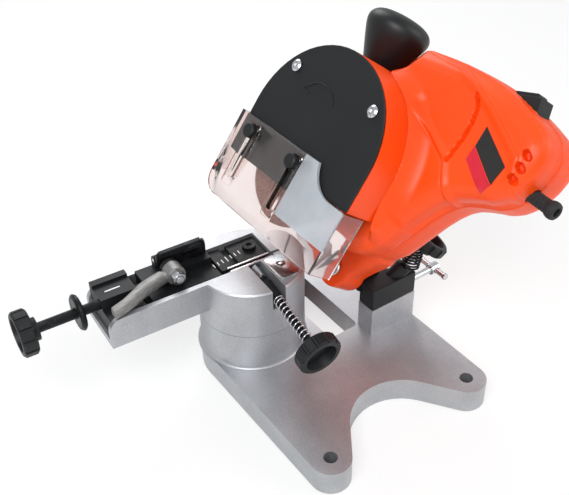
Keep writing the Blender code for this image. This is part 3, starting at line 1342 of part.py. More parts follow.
def make_housing():
    front = half_housing("front_shell", HOUSING_SPLIT, HOUSING_FRONT)
    rear = half_housing("rear_shell", HOUSING_SPLIT + GAP, HOUSING_REAR)
    fuse(rear, make_leg())
    low = on_motor(FRONT_BEARING_S + MOTOR_BEARING_T + GAP)
    motor_room = rod("motor_room", low, on_motor(REAR_BEARING_S - GAP), MOTOR_BORE_R, None, HEAD)
    seat_r = MOTOR_BEARING_R + GAP
    high = on_motor(REAR_BEARING_S + MOTOR_BEARING_T + GAP)
    bearing_room = rod("bearing_room", on_motor(FRONT_BEARING_S - GAP), high, seat_r, None, HEAD,
                       SMALL_ROUND)
    shaft_r = SHAFT_R + EDGE_R
    shaft_room = rod("shaft_room", on_motor(0.0), on_motor(FRONT_BEARING_S + GAP), shaft_r, None,
                     HEAD, SMALL_ROUND)
    seat = BEARING_R + GAP
    tail = GEARBOX_REAR + BEARING_T + 2.0 * GAP
    neck = GUARD_BACK + 5.0 * GAP + BEARING_T + GAP
    gear_room = turned(
        "gear_room",
        [
            (0.0, tail),
            (seat, tail),
            (seat, GEARBOX_REAR),
            (GEARBOX_R, GEARBOX_REAR),
            (GEARBOX_R, GEARBOX_FRONT),
            (seat, neck),
            (seat, GUARD_BACK - OVERRUN),
            (0.0, GUARD_BACK - OVERRUN),
        ],
        None,
        HEAD,
        head_point(0.0, SPINDLE_A, SPINDLE_V),
        (1.0, 0.0, 0.0),
    )
    for shell in (front, rear):
        cut(shell, motor_room, bearing_room, shaft_room, gear_room)
    make_fittings(front, rear)


def section(v, d0, d1, a0, a1, radius):
    """A level slice of the leg."""
    return [head_point(d, a, v) for d, a in rounded((d0, a0), (d1, a1), radius, 3)]


LEG_FRONT = 47.0 * MM
LEG_TOP_V = 74.0 * MM
LEG_MID_V = 50.0 * MM
LEG_LOW_V = 36.0 * MM


def make_leg():
    """The leg narrows from the rear shell to one boss on the hinge pin, with the return spring inside it."""
    back = BOSS_D + BOSS_L
    rings = [
        section(LEG_TOP_V, LEG_FRONT, back - EDGE_R, HINGE_A - 2.6 * BOSS_R,
                HINGE_A + 2.4 * BOSS_R, 10.0 * MM),
        section(LEG_MID_V, LEG_FRONT, back - EDGE_R / 2.0, HINGE_A - 2.3 * BOSS_R,
                HINGE_A + 1.8 * BOSS_R, 9.0 * MM),
        section(LEG_LOW_V, BOSS_D + GAP / 2.0, back - GAP / 2.0, HINGE_A - 1.5 * BOSS_R,
                HINGE_A + 1.15 * BOSS_R, 6.0 * MM),
        section(HINGE_V, BOSS_D + GAP, back - GAP, HINGE_A - BOSS_R + GAP, HINGE_A + BOSS_R - GAP, 4.0 * MM),
    ]
    leg = loft("leg", rings, None, HEAD)
    boss = rod("hinge_boss", head_point(BOSS_D, HINGE_A, HINGE_V),
               head_point(back, HINGE_A, HINGE_V), BOSS_R, None, HEAD)
    bore_low = head_point(BOSS_D - OVERRUN, HINGE_A, HINGE_V)
    bore_high = head_point(back + OVERRUN, HINGE_A, HINGE_V)
    bore = rod("boss_bore", bore_low, bore_high, HINGE_PIN_R + RUN_FIT, None, HEAD, SMALL_ROUND)
    well_low = head_point(back - SPRING_WELL_L, HINGE_A, HINGE_V)
    well = rod("spring_well", well_low, bore_high, SPRING_WELL_R, None, HEAD)
    fuse(leg, boss)
    cut(leg, bore, well)
    return leg


def make_fittings(front, rear):
    """Handle, rocker switch and cable gland, each seated in the shells."""
    foot = head_point(HANDLE_D, HANDLE_A, HANDLE_V)
    up = (0.0, 0.0, 1.0)
    flare = [
        (HANDLE_TOP_R * math.cos(t), HANDLE_H + HANDLE_DOME * math.sin(t))
        for t in (math.pi / 12.0 * i for i in range(6, -1, -1))
    ]
    flare[0] = (0.0, HANDLE_H + HANDLE_DOME)
    stem_r = HANDLE_NECK_R * 0.6
    stem = HANDLE_STEM_L
    turned("handle", flare + [(HANDLE_NECK_R, 0.0), (stem_r, 0.0), (stem_r, -stem), (0.0, -stem)],
           BLACK, HEAD, foot, up)
    rise = HANDLE_H * 2.0
    grow = (HANDLE_TOP_R - HANDLE_NECK_R) / HANDLE_H
    seat_r = HANDLE_NECK_R + 2.0 * GAP
    room = [(0.0, rise), (seat_r + grow * rise, rise), (seat_r, -GAP), (stem_r + GAP, -GAP)]
    room += [(stem_r + GAP, -stem - GAP), (0.0, -stem - GAP)]
    for shell in (front, rear):
        cut(shell, turned(f"handle_room_{shell.name}", room, None, HEAD, foot, up))

    slope = Matrix.Rotation(-SWITCH_SLOPE, 4, "X")
    seat = Matrix.Translation(head_point(HOUSING_SPLIT, SWITCH_A, SWITCH_V)) @ slope
    half_l, half_w = SWITCH_L / 2.0, SWITCH_W / 2.0
    wall = ROCKER_WALL
    depth = 12.0 * MM
    bezel = box("switch_bezel", (-half_w, -half_l, -depth), (half_w, half_l, SWITCH_H), BLACK,
                HEAD, matrix=seat)
    well_low = (-half_w + wall, -half_l + wall, -depth + wall)
    well_high = (half_w - wall, half_l - wall, SWITCH_H + OVERRUN)
    cut(bezel, box("switch_well", well_low, well_high, None, HEAD, matrix=seat))
    clear = wall + 2.0 * GAP
    radius = half_l - clear
    rocker_view = arc((0.0, SWITCH_H / 2.0), radius, 0.12 * math.pi, 0.88 * math.pi, 8)
    rocker_view = [(y, min(z, SWITCH_H + ROCKER_RISE)) for y, z in rocker_view]
    rocker_view += [(-radius * 0.7, -SWITCH_H), (radius * 0.7, -SWITCH_H)]
    rocker = plate("switch_rocker", rocker_view, -half_w + clear, half_w - clear, BLACK, HEAD,
                   seat @ END_VIEW, (0.0, -EDGE_R))
    room = box("switch_room", (-half_w - GAP, -half_l - GAP, -depth - GAP),
               (half_w + GAP, half_l + GAP, depth * 4.0), None, HEAD, matrix=seat)
    for shell in (front, rear):
        cut(shell, room)

    gland_at = head_point(HOUSING_SPLIT, GLAND_A, GLAND_V)
    gland_dir = Vector((0.0, -math.cos(GLAND_DIP), -math.sin(GLAND_DIP)))
    bulb = GLAND_L - GLAND_BULB_L
    profile = [
        (0.0, GLAND_L - GLAND_DIMPLE),
        (GLAND_BORE_R, GLAND_L - GLAND_DIMPLE),
        (GLAND_BORE_R, GLAND_L),
        (GLAND_BULB_R * 0.7, GLAND_L),
        (GLAND_BULB_R, GLAND_L - GLAND_BULB_L / 3.0),
        (GLAND_BULB_R, GLAND_L - GLAND_BULB_L * 0.6),
        (GLAND_R, bulb),
        (GLAND_R, 0.0),
        (GLAND_R, -GLAND_SEAT),
        (0.0, -GLAND_SEAT),
    ]
    turned("cable_gland", profile, RUBBER, HEAD, gland_at, gland_dir, 24)
    room_low = gland_at - gland_dir * (GLAND_SEAT + GAP)
    for shell in (front, rear):
        cut(shell, rod(f"gland_room_{shell.name}", room_low, gland_at + gland_dir * GLAND_L,
                       GLAND_R + GAP, None, HEAD, SMALL_ROUND))


def make_bracket():
    """Black block bolted on the post, with the hinge knuckle on its rear side."""
    low = POST_TOP + GAP
    block = box("hinge_bracket", (WINDOW_RIGHT, POST_FRONT, low),
                (PLATE_RIGHT, POST_BACK, BLOCK_TOP), BLACK, bevel=BLOCK_BEVEL)
    to_world = Matrix.Translation(CHAIN_POINT) @ Matrix.Rotation(HEAD_TILT, 4, "Y")
    near = to_world @ head_point(KNUCKLE_D, HINGE_A, HINGE_V)
    far = to_world @ head_point(KNUCKLE_D + KNUCKLE_L, HINGE_A, HINGE_V)
    knuckle = rod("knuckle", near, far, KNUCKLE_R, None)
    web = box(
        "knuckle_web",
        (KNUCKLE_D + EDGE_R, POST_BACK - OVERRUN, HINGE_V - KNUCKLE_R * 0.8),
        (KNUCKLE_D + KNUCKLE_L - EDGE_R, HINGE_A, HINGE_V + KNUCKLE_R * 0.8),
        None,
        matrix=to_world,
    )
    aside = PLATE_RIGHT * 2.0
    inside = POST_FRONT - OVERRUN
    for limb in (knuckle, web):
        under = box(f"{limb.name}_trim", (0.0, inside, 0.0), (aside, POST_BACK + GAP, low + GAP), None)
        above = box(f"{limb.name}_crown", (0.0, inside, BLOCK_TOP - GAP),
                    (aside, POST_BACK, BLOCK_TOP * 2.0), None)
        cut(limb, under, above)
    fuse(block, knuckle, web)
    end = KNUCKLE_D + KNUCKLE_L
    bore_low = to_world @ head_point(KNUCKLE_D - OVERRUN, HINGE_A, HINGE_V)
    bore_high = to_world @ head_point(end + OVERRUN, HINGE_A, HINGE_V)
    cut(block, rod("knuckle_bore", bore_low, bore_high, HINGE_PIN_R + GAP, None, steps=SMALL_ROUND))
    outward = near - far
    pin = PIN_HEAD_T
    reach = end - BOSS_D
    turned(
        "hinge_pin",
        [
            (0.0, pin),
            (PIN_HEAD_R - EDGE_R / 2.0, pin),
            (PIN_HEAD_R, pin - EDGE_R / 2.0),
            (PIN_HEAD_R, 0.0),
            (HINGE_PIN_R, 0.0),
            (HINGE_PIN_R, -reach),
            (0.0, -reach),
        ],
        STEEL,
        None,
        to_world @ head_point(BOSS_D - GAP, HINGE_A, HINGE_V),
        outward,
        SMALL_ROUND,
    )
    well_floor = BOSS_D + BOSS_L - SPRING_WELL_L + 2.0 * GAP
    spring_low = to_world @ head_point(well_floor, HINGE_A, HINGE_V)
    room = KNUCKLE_D - well_floor - GAP
    coil("return_spring", spring_low, -outward, HINGE_SPRING_R, HINGE_WIRE_R, room,
         HINGE_SPRING_TURNS, STEEL)

    bolt_y = (POST_FRONT + POST_BACK) / 2.0
    for side, x in (("left", WINDOW_RIGHT + BRACKET_BOLT_INSET),
                    ("right", PLATE_RIGHT - BRACKET_BOLT_INSET_RIGHT)):
        top = low + BRACKET_BOLT_DEPTH / 2.0
        hole = rod(f"bracket_hole_{side}", (x, bolt_y, low - OVERRUN), (x, bolt_y, top + GAP),
                   BRACKET_BOLT_R + GAP, None, steps=SMALL_ROUND)
        cut(block, hole)
        rod(f"bracket_bolt_{side}", (x, bolt_y, POST_TOP - BRACKET_BOLT_DEPTH), (x, bolt_y, top),
            BRACKET_BOLT_R, STEEL, steps=SMALL_ROUND)

    lean = HEAD_PLANE_V * math.cos(STOP_LEAN) - Vector((0.0, math.sin(STOP_LEAN), 0.0))
    seat = Vector((STOP_X, STOP_Y, BLOCK_TOP))
    base_r = STOP_SEAT_R
    boss = rod("stop_boss", seat - lean * STOP_SEAT_R, seat + lean * (base_r + STOP_SEAT_H),
               STOP_SEAT_R, None, steps=SMALL_ROUND)
    fuse(block, boss)
    bore = STOP_R + GAP
    face = seat + lean * (base_r + STOP_SEAT_H)
    cut(block, rod("stop_bore", seat - lean * (STOP_DEPTH + GAP), face + lean * OVERRUN, bore,
                   None, steps=SMALL_ROUND))
    spring_at = face + lean * GAP
    knob_at = spring_at + lean * (STOP_NECK + GAP)
    rod("stop_screw", seat - lean * STOP_DEPTH, knob_at + lean * STAR_KNOB_HUB_H, STOP_R, STEEL,
        steps=SMALL_ROUND)
    coil("stop_spring", spring_at, lean, STOP_SPRING_R, STOP_WIRE_R, STOP_NECK, STOP_TURNS, DARK_STEEL)
    star_knob("stop_knob", knob_at, lean, STOP_KNOB_R, STOP_KNOB_H, BLACK, None, bore)

    bar_y = STOP_Y
    bar_z = POST_TOP + TBAR_RISE
    head_x = PLATE_RIGHT + TBAR_OUT
    cut(block, rod("tbar_bore", (PLATE_RIGHT - TBAR_IN - GAP, bar_y, bar_z),
                   (PLATE_RIGHT + OVERRUN, bar_y, bar_z), TBAR_R + GAP, None, steps=SMALL_ROUND))
    screw = rod("tbar_screw", (PLATE_RIGHT - TBAR_IN, bar_y, bar_z),
                (head_x - TBAR_HEAD_L / 2.0, bar_y, bar_z), TBAR_R, STEEL, steps=SMALL_ROUND)
    knob = rod("tbar_head", (head_x - TBAR_HEAD_L, bar_y, bar_z), (head_x, bar_y, bar_z),
               TBAR_HEAD_R, None, steps=SMALL_ROUND)
    fuse(screw, knob)
    cross_x = head_x - TBAR_HEAD_L / 2.0
    reach = TBAR_CROSS_L / 2.0
    cross_bore = rod("cross_bore", (cross_x, bar_y - reach, bar_z),
                     (cross_x, bar_y + reach, bar_z), TBAR_CROSS_R + GAP, None, steps=SMALL_ROUND)
    cut(screw, cross_bore)
    tip = TBAR_CROSS_R + GAP * 2.0
    turned(
        "tbar_bar",
        [
            (0.0, reach),
            (tip - GAP, reach),
            (tip, reach - GAP * 2.0),
            (tip, reach - tip),
            (TBAR_CROSS_R, reach - tip - GAP),
            (TBAR_CROSS_R, -reach + tip + GAP),
            (tip, -reach + tip),
            (tip, -reach + GAP * 2.0),
            (tip - GAP, -reach),
            (0.0, -reach),
        ],
        STEEL,
        None,
        (cross_x, bar_y, bar_z),
        (0.0, 1.0, 0.0),
        SMALL_ROUND,
    )


make_base()
make_swivel()
make_vise_body()
make_rails()
make_clamp()
make_feed()
make_lever()
make_pawl()
make_guard()
make_visor()
make_wheel_set()
make_motor()
make_housing()
make_bracket()
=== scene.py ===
# %% [markdown]
# # An electric chainsaw sharpener, dressed for its portrait
#
# The machine is a small bench grinder for saw chain. A cast base carries a round turret, the turret
# carries a vise with a long arm, and a motor head tilts over it with a thin grinding wheel in its
# guard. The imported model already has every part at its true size, so this lesson only adds what
# the eye wants: rounded edges, moulded lines, springs with real wire and honest materials.
#
# The first step is to load that model as a fixed frame.

# %% Load the fixed frame
import bpy
import json
import math
import numpy as np
from mathutils import Matrix, Vector

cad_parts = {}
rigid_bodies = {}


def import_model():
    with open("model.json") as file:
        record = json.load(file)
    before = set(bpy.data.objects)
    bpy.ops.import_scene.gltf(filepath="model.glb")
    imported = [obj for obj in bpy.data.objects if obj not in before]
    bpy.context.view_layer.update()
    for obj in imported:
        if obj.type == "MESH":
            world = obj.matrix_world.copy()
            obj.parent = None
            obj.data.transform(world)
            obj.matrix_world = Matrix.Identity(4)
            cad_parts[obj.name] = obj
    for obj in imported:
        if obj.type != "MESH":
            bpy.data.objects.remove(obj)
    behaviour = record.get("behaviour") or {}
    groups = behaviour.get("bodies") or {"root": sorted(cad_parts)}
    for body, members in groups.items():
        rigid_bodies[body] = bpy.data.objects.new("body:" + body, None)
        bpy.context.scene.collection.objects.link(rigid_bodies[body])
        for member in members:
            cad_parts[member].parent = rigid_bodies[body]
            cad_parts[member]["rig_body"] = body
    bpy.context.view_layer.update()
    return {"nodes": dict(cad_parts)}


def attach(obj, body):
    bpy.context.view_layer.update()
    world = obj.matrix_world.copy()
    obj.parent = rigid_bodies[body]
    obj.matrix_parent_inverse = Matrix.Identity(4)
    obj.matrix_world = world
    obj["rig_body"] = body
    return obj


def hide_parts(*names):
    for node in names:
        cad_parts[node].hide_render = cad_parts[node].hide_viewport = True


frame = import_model()
MM = 0.001

# %% [markdown]
# Two sub-assemblies are turned against the bench. The head leans back by 37.3 degrees, and the vise
# arm is swung round by 3.5 degrees. It is far easier to think in the head's own directions, so one
# matrix takes (depth, across, up the head) to the bench, and another does the same for the vise.

# %% The head's and the vise's own directions
SWIVEL = Vector((-0.378 * MM, 55.931 * MM, 0.0))
TURRET_TOP = 94.8 * MM
HEAD_LEAN, ARM_SWING = math.radians(37.3), math.radians(-3.5)
WHEEL_ACROSS, WHEEL_UP = -7.4, 108.7
TURRET = Matrix.Translation(SWIVEL + Vector((0.0, 0.0, TURRET_TOP)))
HEAD = TURRET @ Matrix.Rotation(HEAD_LEAN, 4, "Y")
VISE = TURRET @ Matrix.Rotation(ARM_SWING, 4, "Z")


def head_point(depth, across, up):
    """A place on the head, given in millimetres."""
    return HEAD @ Vector((depth * MM, across * MM, up * MM))


def head_way(depth, across, up):
    """A direction on the head, as it points on the bench."""
    return HEAD.to_3x3() @ Vector((depth, across, up))


wheel_place = head_point(0.0, WHEEL_ACROSS, WHEEL_UP)
print("the wheel's centre is at", [round(c / MM) for c in wheel_place])

# %% [markdown]
# Every modelling step below works on one object at a time. Blender's operators act on whatever is
# selected, and loading the frame leaves all of it selected, so one helper picks a single piece, and
# another opens its mesh for editing.

# %% Pick one piece, open its mesh, close it again
WELD = 0.01 * MM


def only(piece):
    """Make this the one selected piece."""
    bpy.ops.object.select_all(action="DESELECT")
    piece.select_set(True)
    bpy.context.view_layer.objects.active = piece


def open_up(piece, pick="SELECT"):
    """Start editing the piece's mesh with all of it picked, or none."""
    only(piece)
    bpy.ops.object.mode_set(mode="EDIT")
    bpy.ops.mesh.select_all(action=pick)


def close_up():
    """Stop editing the mesh."""
    bpy.ops.object.mode_set(mode="OBJECT")


def points_of(piece, what="co"):
    """The places of the piece's points, or their directions, one row for each."""
    rows = np.empty(len(piece.data.vertices) * 3)
    piece.data.vertices.foreach_get(what, rows)
    return rows.reshape(-1, 3)


# %% [markdown]
# A frame part is never changed. A working copy is made of it, its split corners are joined and its
# triangles are made whole faces again. When a piece is finished it gets its material and its moving
# body, and the frame parts that it stands for are hidden.

# %% Copy a frame part, finish a piece with a modifier, and put it in its place
def clay_from(node, name):
    """A copy of a frame part as clean clay: corners joined, flat faces made whole again."""
    piece = bpy.data.objects.new(name, frame["nodes"][node].data.copy())
    bpy.context.scene.collection.objects.link(piece)
    only(piece)
    piece.data.materials.clear()
    bpy.ops.mesh.customdata_custom_splitnormals_clear()
    open_up(piece)
    bpy.ops.mesh.remove_doubles(threshold=WELD)
    bpy.ops.mesh.dissolve_limited(angle_limit=math.radians(0.8))
    close_up()
    return piece


def finish_with(piece, kind, **settings):
    """Add one modifier with its settings and apply it."""
    only(piece)
    modifier = piece.modifiers.new(kind.lower(), kind)
    for name, value in settings.items():
        setattr(modifier, name, value)
    bpy.ops.object.modifier_apply(modifier=modifier.name)


def settle(piece, body, nodes):
    """Let the piece ride on its body and stand for the frame parts in nodes."""
    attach(piece, body)
    for node in nodes:
        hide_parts(node)
    print(piece.name, "has", len(piece.data.polygons), "faces")
    return piece


def dress(piece, body, nodes, material):
    """Give the piece its one material and let it settle."""
    piece.data.materials.clear()
    piece.data.materials.append(material)
    return settle(piece, body, nodes)


# %% [markdown]
# ## The photographer's corner
#
# The picture was taken from the front left, a little over 37 degrees above the bench, with a
# lens that keeps the edges nearly parallel. The camera's place was worked out from the bolt holes
# and the turret's rim, so it is given here as plain numbers.

# %% The camera
SIGHT = Matrix(((0.8179, 0.3619, -0.4473), (-0.5751, 0.4905, -0.6548), (-0.0176, 0.7928, 0.6093)))
bpy.ops.object.camera_add(location=(-0.283978, -0.406969, 0.5234), rotation=SIGHT.to_euler())
camera = bpy.context.object
camera.data.lens = 57.0
camera.data.sensor_width = 36.0
camera.data.clip_start = 0.01
bpy.context.scene.camera = camera
print("the camera stands", round((camera.location - SWIVEL).length, 3), "m from the swivel")

# %% [markdown]
# One small helper adds a shader node, gives it its settings and plugs in its links. Colours are
# written as they are seen on a screen and turned into the linear light that the renderer counts in.

# %% Helpers for materials
def shade(hex_colour):
    """A screen colour such as F24713 as linear light."""
    parts = [int(hex_colour[i:i + 2], 16) / 255.0 for i in (0, 2, 4)]
    return (*(p / 12.92 if p <= 0.04045 else ((p + 0.055) / 1.055) ** 2.4 for p in parts), 1.0)


def add(tree, kind, settings=None, links=None):
    """Add one node. Names with a capital are its sockets, the others are its own settings."""
    made = tree.nodes.new(kind)
    for name, value in (settings or {}).items():
        if isinstance(name, int) or name[0].isupper():
            made.inputs[name].default_value = value
        else:
            setattr(made, name, value)
    for name, source in (links or {}).items():
        tree.links.new(source, made.inputs[name])
    return made


def begin(name, solid_colour):
    """A new material with the shader alone, and the piece's own coordinates in metres."""
    material = bpy.data.materials.new(name)
    material.use_nodes = True
    material.diffuse_color = shade(solid_colour)
    tree = material.node_tree
    tree.nodes.clear()
    shader = add(tree, "ShaderNodeBsdfPrincipled", {"Base Color": shade(solid_colour)})
    add(tree, "ShaderNodeOutputMaterial", links={"Surface": shader.outputs["BSDF"]})
    place = add(tree, "ShaderNodeTexCoord").outputs["Object"]
    return material, tree, shader, place


def per_metre(size_mm):
    """The texture scale whose pattern repeats about every size_mm millimetres."""
    return 1000.0 / size_mm


# %% [markdown]
# Most of the materials below have one thing in common: their colour and their sheen drift together
# over patches of a known size. One recipe makes them all. It takes the patch size, the two tones,
# the range of roughness and, where the surface has a texture, the strength and depth of its bumps.

# %% The recipe for a two-toned material
def two_toned(name, solid, size_mm, detail, tones, rough, sockets=None, bump=None, stretch=None):
    """A material that drifts between two tones and two roughnesses.

    bump is (strength, depth in mm), and the size in mm of a finer noise where it needs one.
    Without rough, the roughness is given in sockets, with the shader's other values.
    """
    material, tree, shader, place = begin(name, solid)
    if stretch:
        place = add(tree, "ShaderNodeMapping", {"Scale": stretch}, {"Vector": place}).outputs[0]
    drift = add(tree, "ShaderNodeTexNoise", {"Scale": per_metre(size_mm), "Detail": detail},
                {"Vector": place})
    low, high = (shade(tone) for tone in tones)
    tint = add(tree, "ShaderNodeMix", {"data_type": "RGBA", 6: low, 7: high},
               {0: drift.outputs["Fac"]})
    tree.links.new(tint.outputs[2], shader.inputs["Base Color"])
    if rough:
        sheen = add(tree, "ShaderNodeMapRange", {"To Min": rough[0], "To Max": rough[1]},
                    {"Value": drift.outputs["Fac"]})
        tree.links.new(sheen.outputs["Result"], shader.inputs["Roughness"])
    if bump:
        grain = drift
        if len(bump) == 3:
            grain = add(tree, "ShaderNodeTexNoise", {"Scale": per_metre(bump[2]), "Detail": 2.0},
                        {"Vector": place})
        pits = add(tree, "ShaderNodeBump", {"Strength": bump[0], "Distance": bump[1] * MM},
                   {"Height": grain.outputs["Fac"]})
        tree.links.new(pits.outputs["Normal"], shader.inputs["Normal"])
    for socket, value in (sockets or {}).items():
        shader.inputs[socket].default_value = value
    return material


# %% [markdown]
# ## Studio floor and light
#
# The photograph is a catalogue picture on white. The floor is matt white paper that also glows a
# little towards the camera, so it reads as white and still keeps a soft shadow under the machine.

# %% The floor and the world
bpy.ops.mesh.primitive_plane_add(size=6.0, location=(0.0, 0.0, -0.0006))
floor = bpy.context.object
floor.name = "studio_floor"
paper, tree, shader, place = begin("white_studio_paper", "F4F4F2")
fibres = add(tree, "ShaderNodeTexNoise", {"Scale": per_metre(4.0), "Detail": 3.0},
             {"Vector": place})
shader.inputs["Roughness"].default_value = 0.95
tint = add(tree, "ShaderNodeMix", {"data_type": "RGBA", 6: shade("F2F2F0"), 7: shade("F8F8F7")},
           {0: fibres.outputs["Fac"]})
tree.links.new(tint.outputs[2], shader.inputs["Base Color"])
seen = add(tree, "ShaderNodeLightPath")
glow = add(tree, "ShaderNodeEmission", {"Color": (1.0, 1.0, 1.0, 1.0), "Strength": 1.0})
mirrored = add(tree, "ShaderNodeMath", {"operation": "MAXIMUM"},
               {0: seen.outputs["Is Camera Ray"], 1: seen.outputs["Is Transmission Ray"]})
share = add(tree, "ShaderNodeMath", {"operation": "MULTIPLY", 1: 0.62}, {0: mirrored.outputs[0]})
blend = add(tree, "ShaderNodeMixShader",
            links={0: share.outputs[0], 1: shader.outputs["BSDF"], 2: glow.outputs[0]})
tree.links.new(blend.outputs[0], tree.nodes["Material Output"].inputs["Surface"])
floor.data.materials.append(paper)

world = bpy.data.worlds.new("plain_studio")
bpy.context.scene.world = world
world.use_nodes = True
tree = world.node_tree
tree.nodes.clear()
seen = add(tree, "ShaderNodeLightPath")
straight = add(tree, "ShaderNodeMath", {"operation": "MAXIMUM"},
               {0: seen.outputs["Is Camera Ray"], 1: seen.outputs["Is Transmission Ray"]})
room = add(tree, "ShaderNodeBackground", {"Color": (0.93, 0.96, 1.0, 1.0), "Strength": 0.42})
white = add(tree, "ShaderNodeBackground", {"Color": (1.0, 1.0, 1.0, 1.0), "Strength": 1.0})
glossy = add(tree, "ShaderNodeMath", {"operation": "MULTIPLY", 1: 0.45},
             {0: seen.outputs["Is Glossy Ray"]})
how_white = add(tree, "ShaderNodeMath", {"operation": "MAXIMUM"},
                {0: straight.outputs[0], 1: glossy.outputs[0]})
both = add(tree, "ShaderNodeMixShader",
           links={0: how_white.outputs[0], 1: room.outputs[0], 2: white.outputs[0]})
add(tree, "ShaderNodeOutputWorld", links={"Surface": both.outputs[0]})
bpy.context.scene.view_settings.view_transform = "Standard"
print("floor and world are ready")

# %% [markdown]
# Three soft boxes do the lighting: a large one above and to the left, which draws the highlights
# along the castings and the motor housing, a weaker one on the right, and a strip behind.

# %% The lamps
def soft_box(name, place, target, size, watts):
    """A square lamp at a place, aimed at a target."""
    aim = (Vector(target) - Vector(place)).to_track_quat("-Z", "Y").to_euler()
    bpy.ops.object.light_add(type="AREA", location=place, rotation=aim)
    lamp = bpy.context.object
    lamp.name = name
    lamp.data.shape = "SQUARE"
    lamp.data.size = size
    lamp.data.energy = watts


soft_box("key_box", (-0.75, -0.55, 1.15), (0.0, 0.0, 0.1), 0.8, 15.0)
soft_box("fill_box", (0.95, -0.75, 0.75), (0.0, 0.0, 0.1), 0.9, 6.0)
soft_box("back_strip", (0.35, 1.0, 0.9), (0.0, 0.0, 0.12), 0.7, 6.0)
print("three soft boxes are lit")

# %% [markdown]
# ## Cast aluminium
#
# The base and the turret are gravity castings that were shot-blasted. The blast leaves a fine
# grain, about a third of a millimetre across, and a satin sheen with slow, cloudy changes. The
# grain is drawn a little coarser here, because the real one is finer than a pixel.

# %% Shot-blasted casting
cast, tree, shader, place = begin("shot_blasted_cast_aluminium", "B0B2B5")
cloud = add(tree, "ShaderNodeTexNoise", {"Scale": per_metre(26.0), "Detail": 3.0},
            {"Vector": place})
grain = add(tree, "ShaderNodeTexNoise", {"Scale": per_metre(0.9), "Detail": 2.0}, {"Vector": place})
tint = add(tree, "ShaderNodeMix", {"data_type": "RGBA", 6: shade("9FA1A5"), 7: shade("C2C3C6")},
           {0: cloud.outputs["Fac"]})
speck = add(tree, "ShaderNodeMapRange", {"From Min": 0.3, "From Max": 0.7, "To Min": 0.86,
                                         "To Max": 1.12}, {"Value": grain.outputs["Fac"]})
grained = add(tree, "ShaderNodeMix", {"data_type": "RGBA", "blend_type": "MULTIPLY", 0: 1.0},
              {6: tint.outputs[2], 7: speck.outputs["Result"]})
sheen = add(tree, "ShaderNodeMapRange", {"To Min": 0.36, "To Max": 0.5},
            {"Value": grain.outputs["Fac"]})
pits = add(tree, "ShaderNodeBump", {"Strength": 0.35, "Distance": 0.12 * MM},
           {"Height": grain.outputs["Fac"]})
shader.inputs["Metallic"].default_value = 0.78
for socket, source in (("Base Color", grained.outputs[2]), ("Roughness", sheen.outputs["Result"]),
                       ("Normal", pits.outputs["Normal"])):
    tree.links.new(source, shader.inputs[socket])

# %% [markdown]
# Handling and the blast both catch a casting's corners, so its rounded edges are smoother than its
# faces. They get a material of their own, which the bevels are given. Its colour is also painted
# lighter than the faces, a painted highlight along every rounded edge.

# %% The rubbed corners of the casting, with a painted highlight
rubbed_edge_with_painted_highlight = two_toned("rubbed_casting_edge", "D6D8DA", 5.0, 4.0, ("BFC1C4", "E4E5E7"), (0.22, 0.42),
                   {"Metallic": 0.85})

# %% [markdown]
# ## Steel, bright and black
#
# The rods, pins and screws are zinc-plated steel: bright, with faint turning marks. The feed screw
# and the pawl are blackened, which leaves an oily, nearly black metal with worn grey patches.

# %% Zinc-plated steel
bright = two_toned("zinc_plated_turned_steel", "C6C8CB", 1.6, 3.0, ("B4B7BB", "DCDDDF"),
                   (0.14, 0.3), {"Metallic": 1.0}, bump=(0.15, 0.05))

# %% Blackened steel
blackened, tree, shader, place = begin("blackened_steel", "1D1E20")
patch = add(tree, "ShaderNodeTexNoise", {"Scale": per_metre(7.0), "Detail": 5.0}, {"Vector": place})
rubbed_through = add(tree, "ShaderNodeMapRange", {"From Min": 0.5, "From Max": 0.75},
                     {"Value": patch.outputs["Fac"]})
tint = add(tree, "ShaderNodeMix", {"data_type": "RGBA", 6: shade("17181A"), 7: shade("3A3C40")},
           {0: rubbed_through.outputs["Result"]})
dull = add(tree, "ShaderNodeMapRange", {"To Min": 0.5, "To Max": 0.34},
           {"Value": patch.outputs["Fac"]})
shader.inputs["Metallic"].default_value = 0.7
tree.links.new(tint.outputs[2], shader.inputs["Base Color"])
tree.links.new(dull.outputs["Result"], shader.inputs["Roughness"])

# %% [markdown]
# The hold-down lever is a rough zinc casting, draw-filed along its length, so its grain runs as
# streaks. Stretching the noise along one direction draws them.

# %% Draw-filed zinc
filed = two_toned("draw_filed_cast_zinc", "8B8A89", 1.3, 4.0, ("5E5D5C", "AFAEAC"), (0.4, 0.6),
                  {"Metallic": 0.75}, bump=(0.5, 0.15), stretch=(0.16, 1.0, 1.0))
print("five metals are mixed")

# %% [markdown]
# ## Moulded plastics
#
# The guard's cover and the knobs are black glass-filled nylon with a spark-eroded mould texture, a
# little under a millimetre from bump to bump. It gives a dark slate colour with a wide, dull
# highlight.

# %% Black moulded nylon
nylon = two_toned("black_glass_filled_nylon", "1B1E21", 30.0, 2.0, ("090B0D", "14171A"),
                  (0.42, 0.6), {"Specular IOR Level": 0.36}, bump=(0.3, 0.08, 0.8))

# %% [markdown]
# The motor housing and the guard's body are ABS, moulded in a strong red-orange. ABS has a satin
# gloss, so its ridges carry soft, pale highlights, and its colour drifts where the melt flowed.

# %% Orange moulded ABS
orange = two_toned("orange_moulded_abs", "F24A08", 45.0, 2.0, ("EE4304", "F8530A"), (0.34, 0.46),
                   {"Specular IOR Level": 0.38}, bump=(0.12, 0.06, 1.0))

# %% [markdown]
# The handle is turned from the same black as the knobs but polished by the mould, so its highlight
# is tighter. The cord's sleeve is soft rubber, which hardly shines at all.

# %% Glossier black for the handle, and rubber
polished = two_toned("black_polished_phenolic", "141619", 18.0, 3.0, ("08090A", "111315"),
                     (0.38, 0.52), {"Specular IOR Level": 0.4})
rubber = two_toned("soft_black_rubber", "131415", 2.5, 4.0, ("101112", "202224"), (0.6, 0.8))

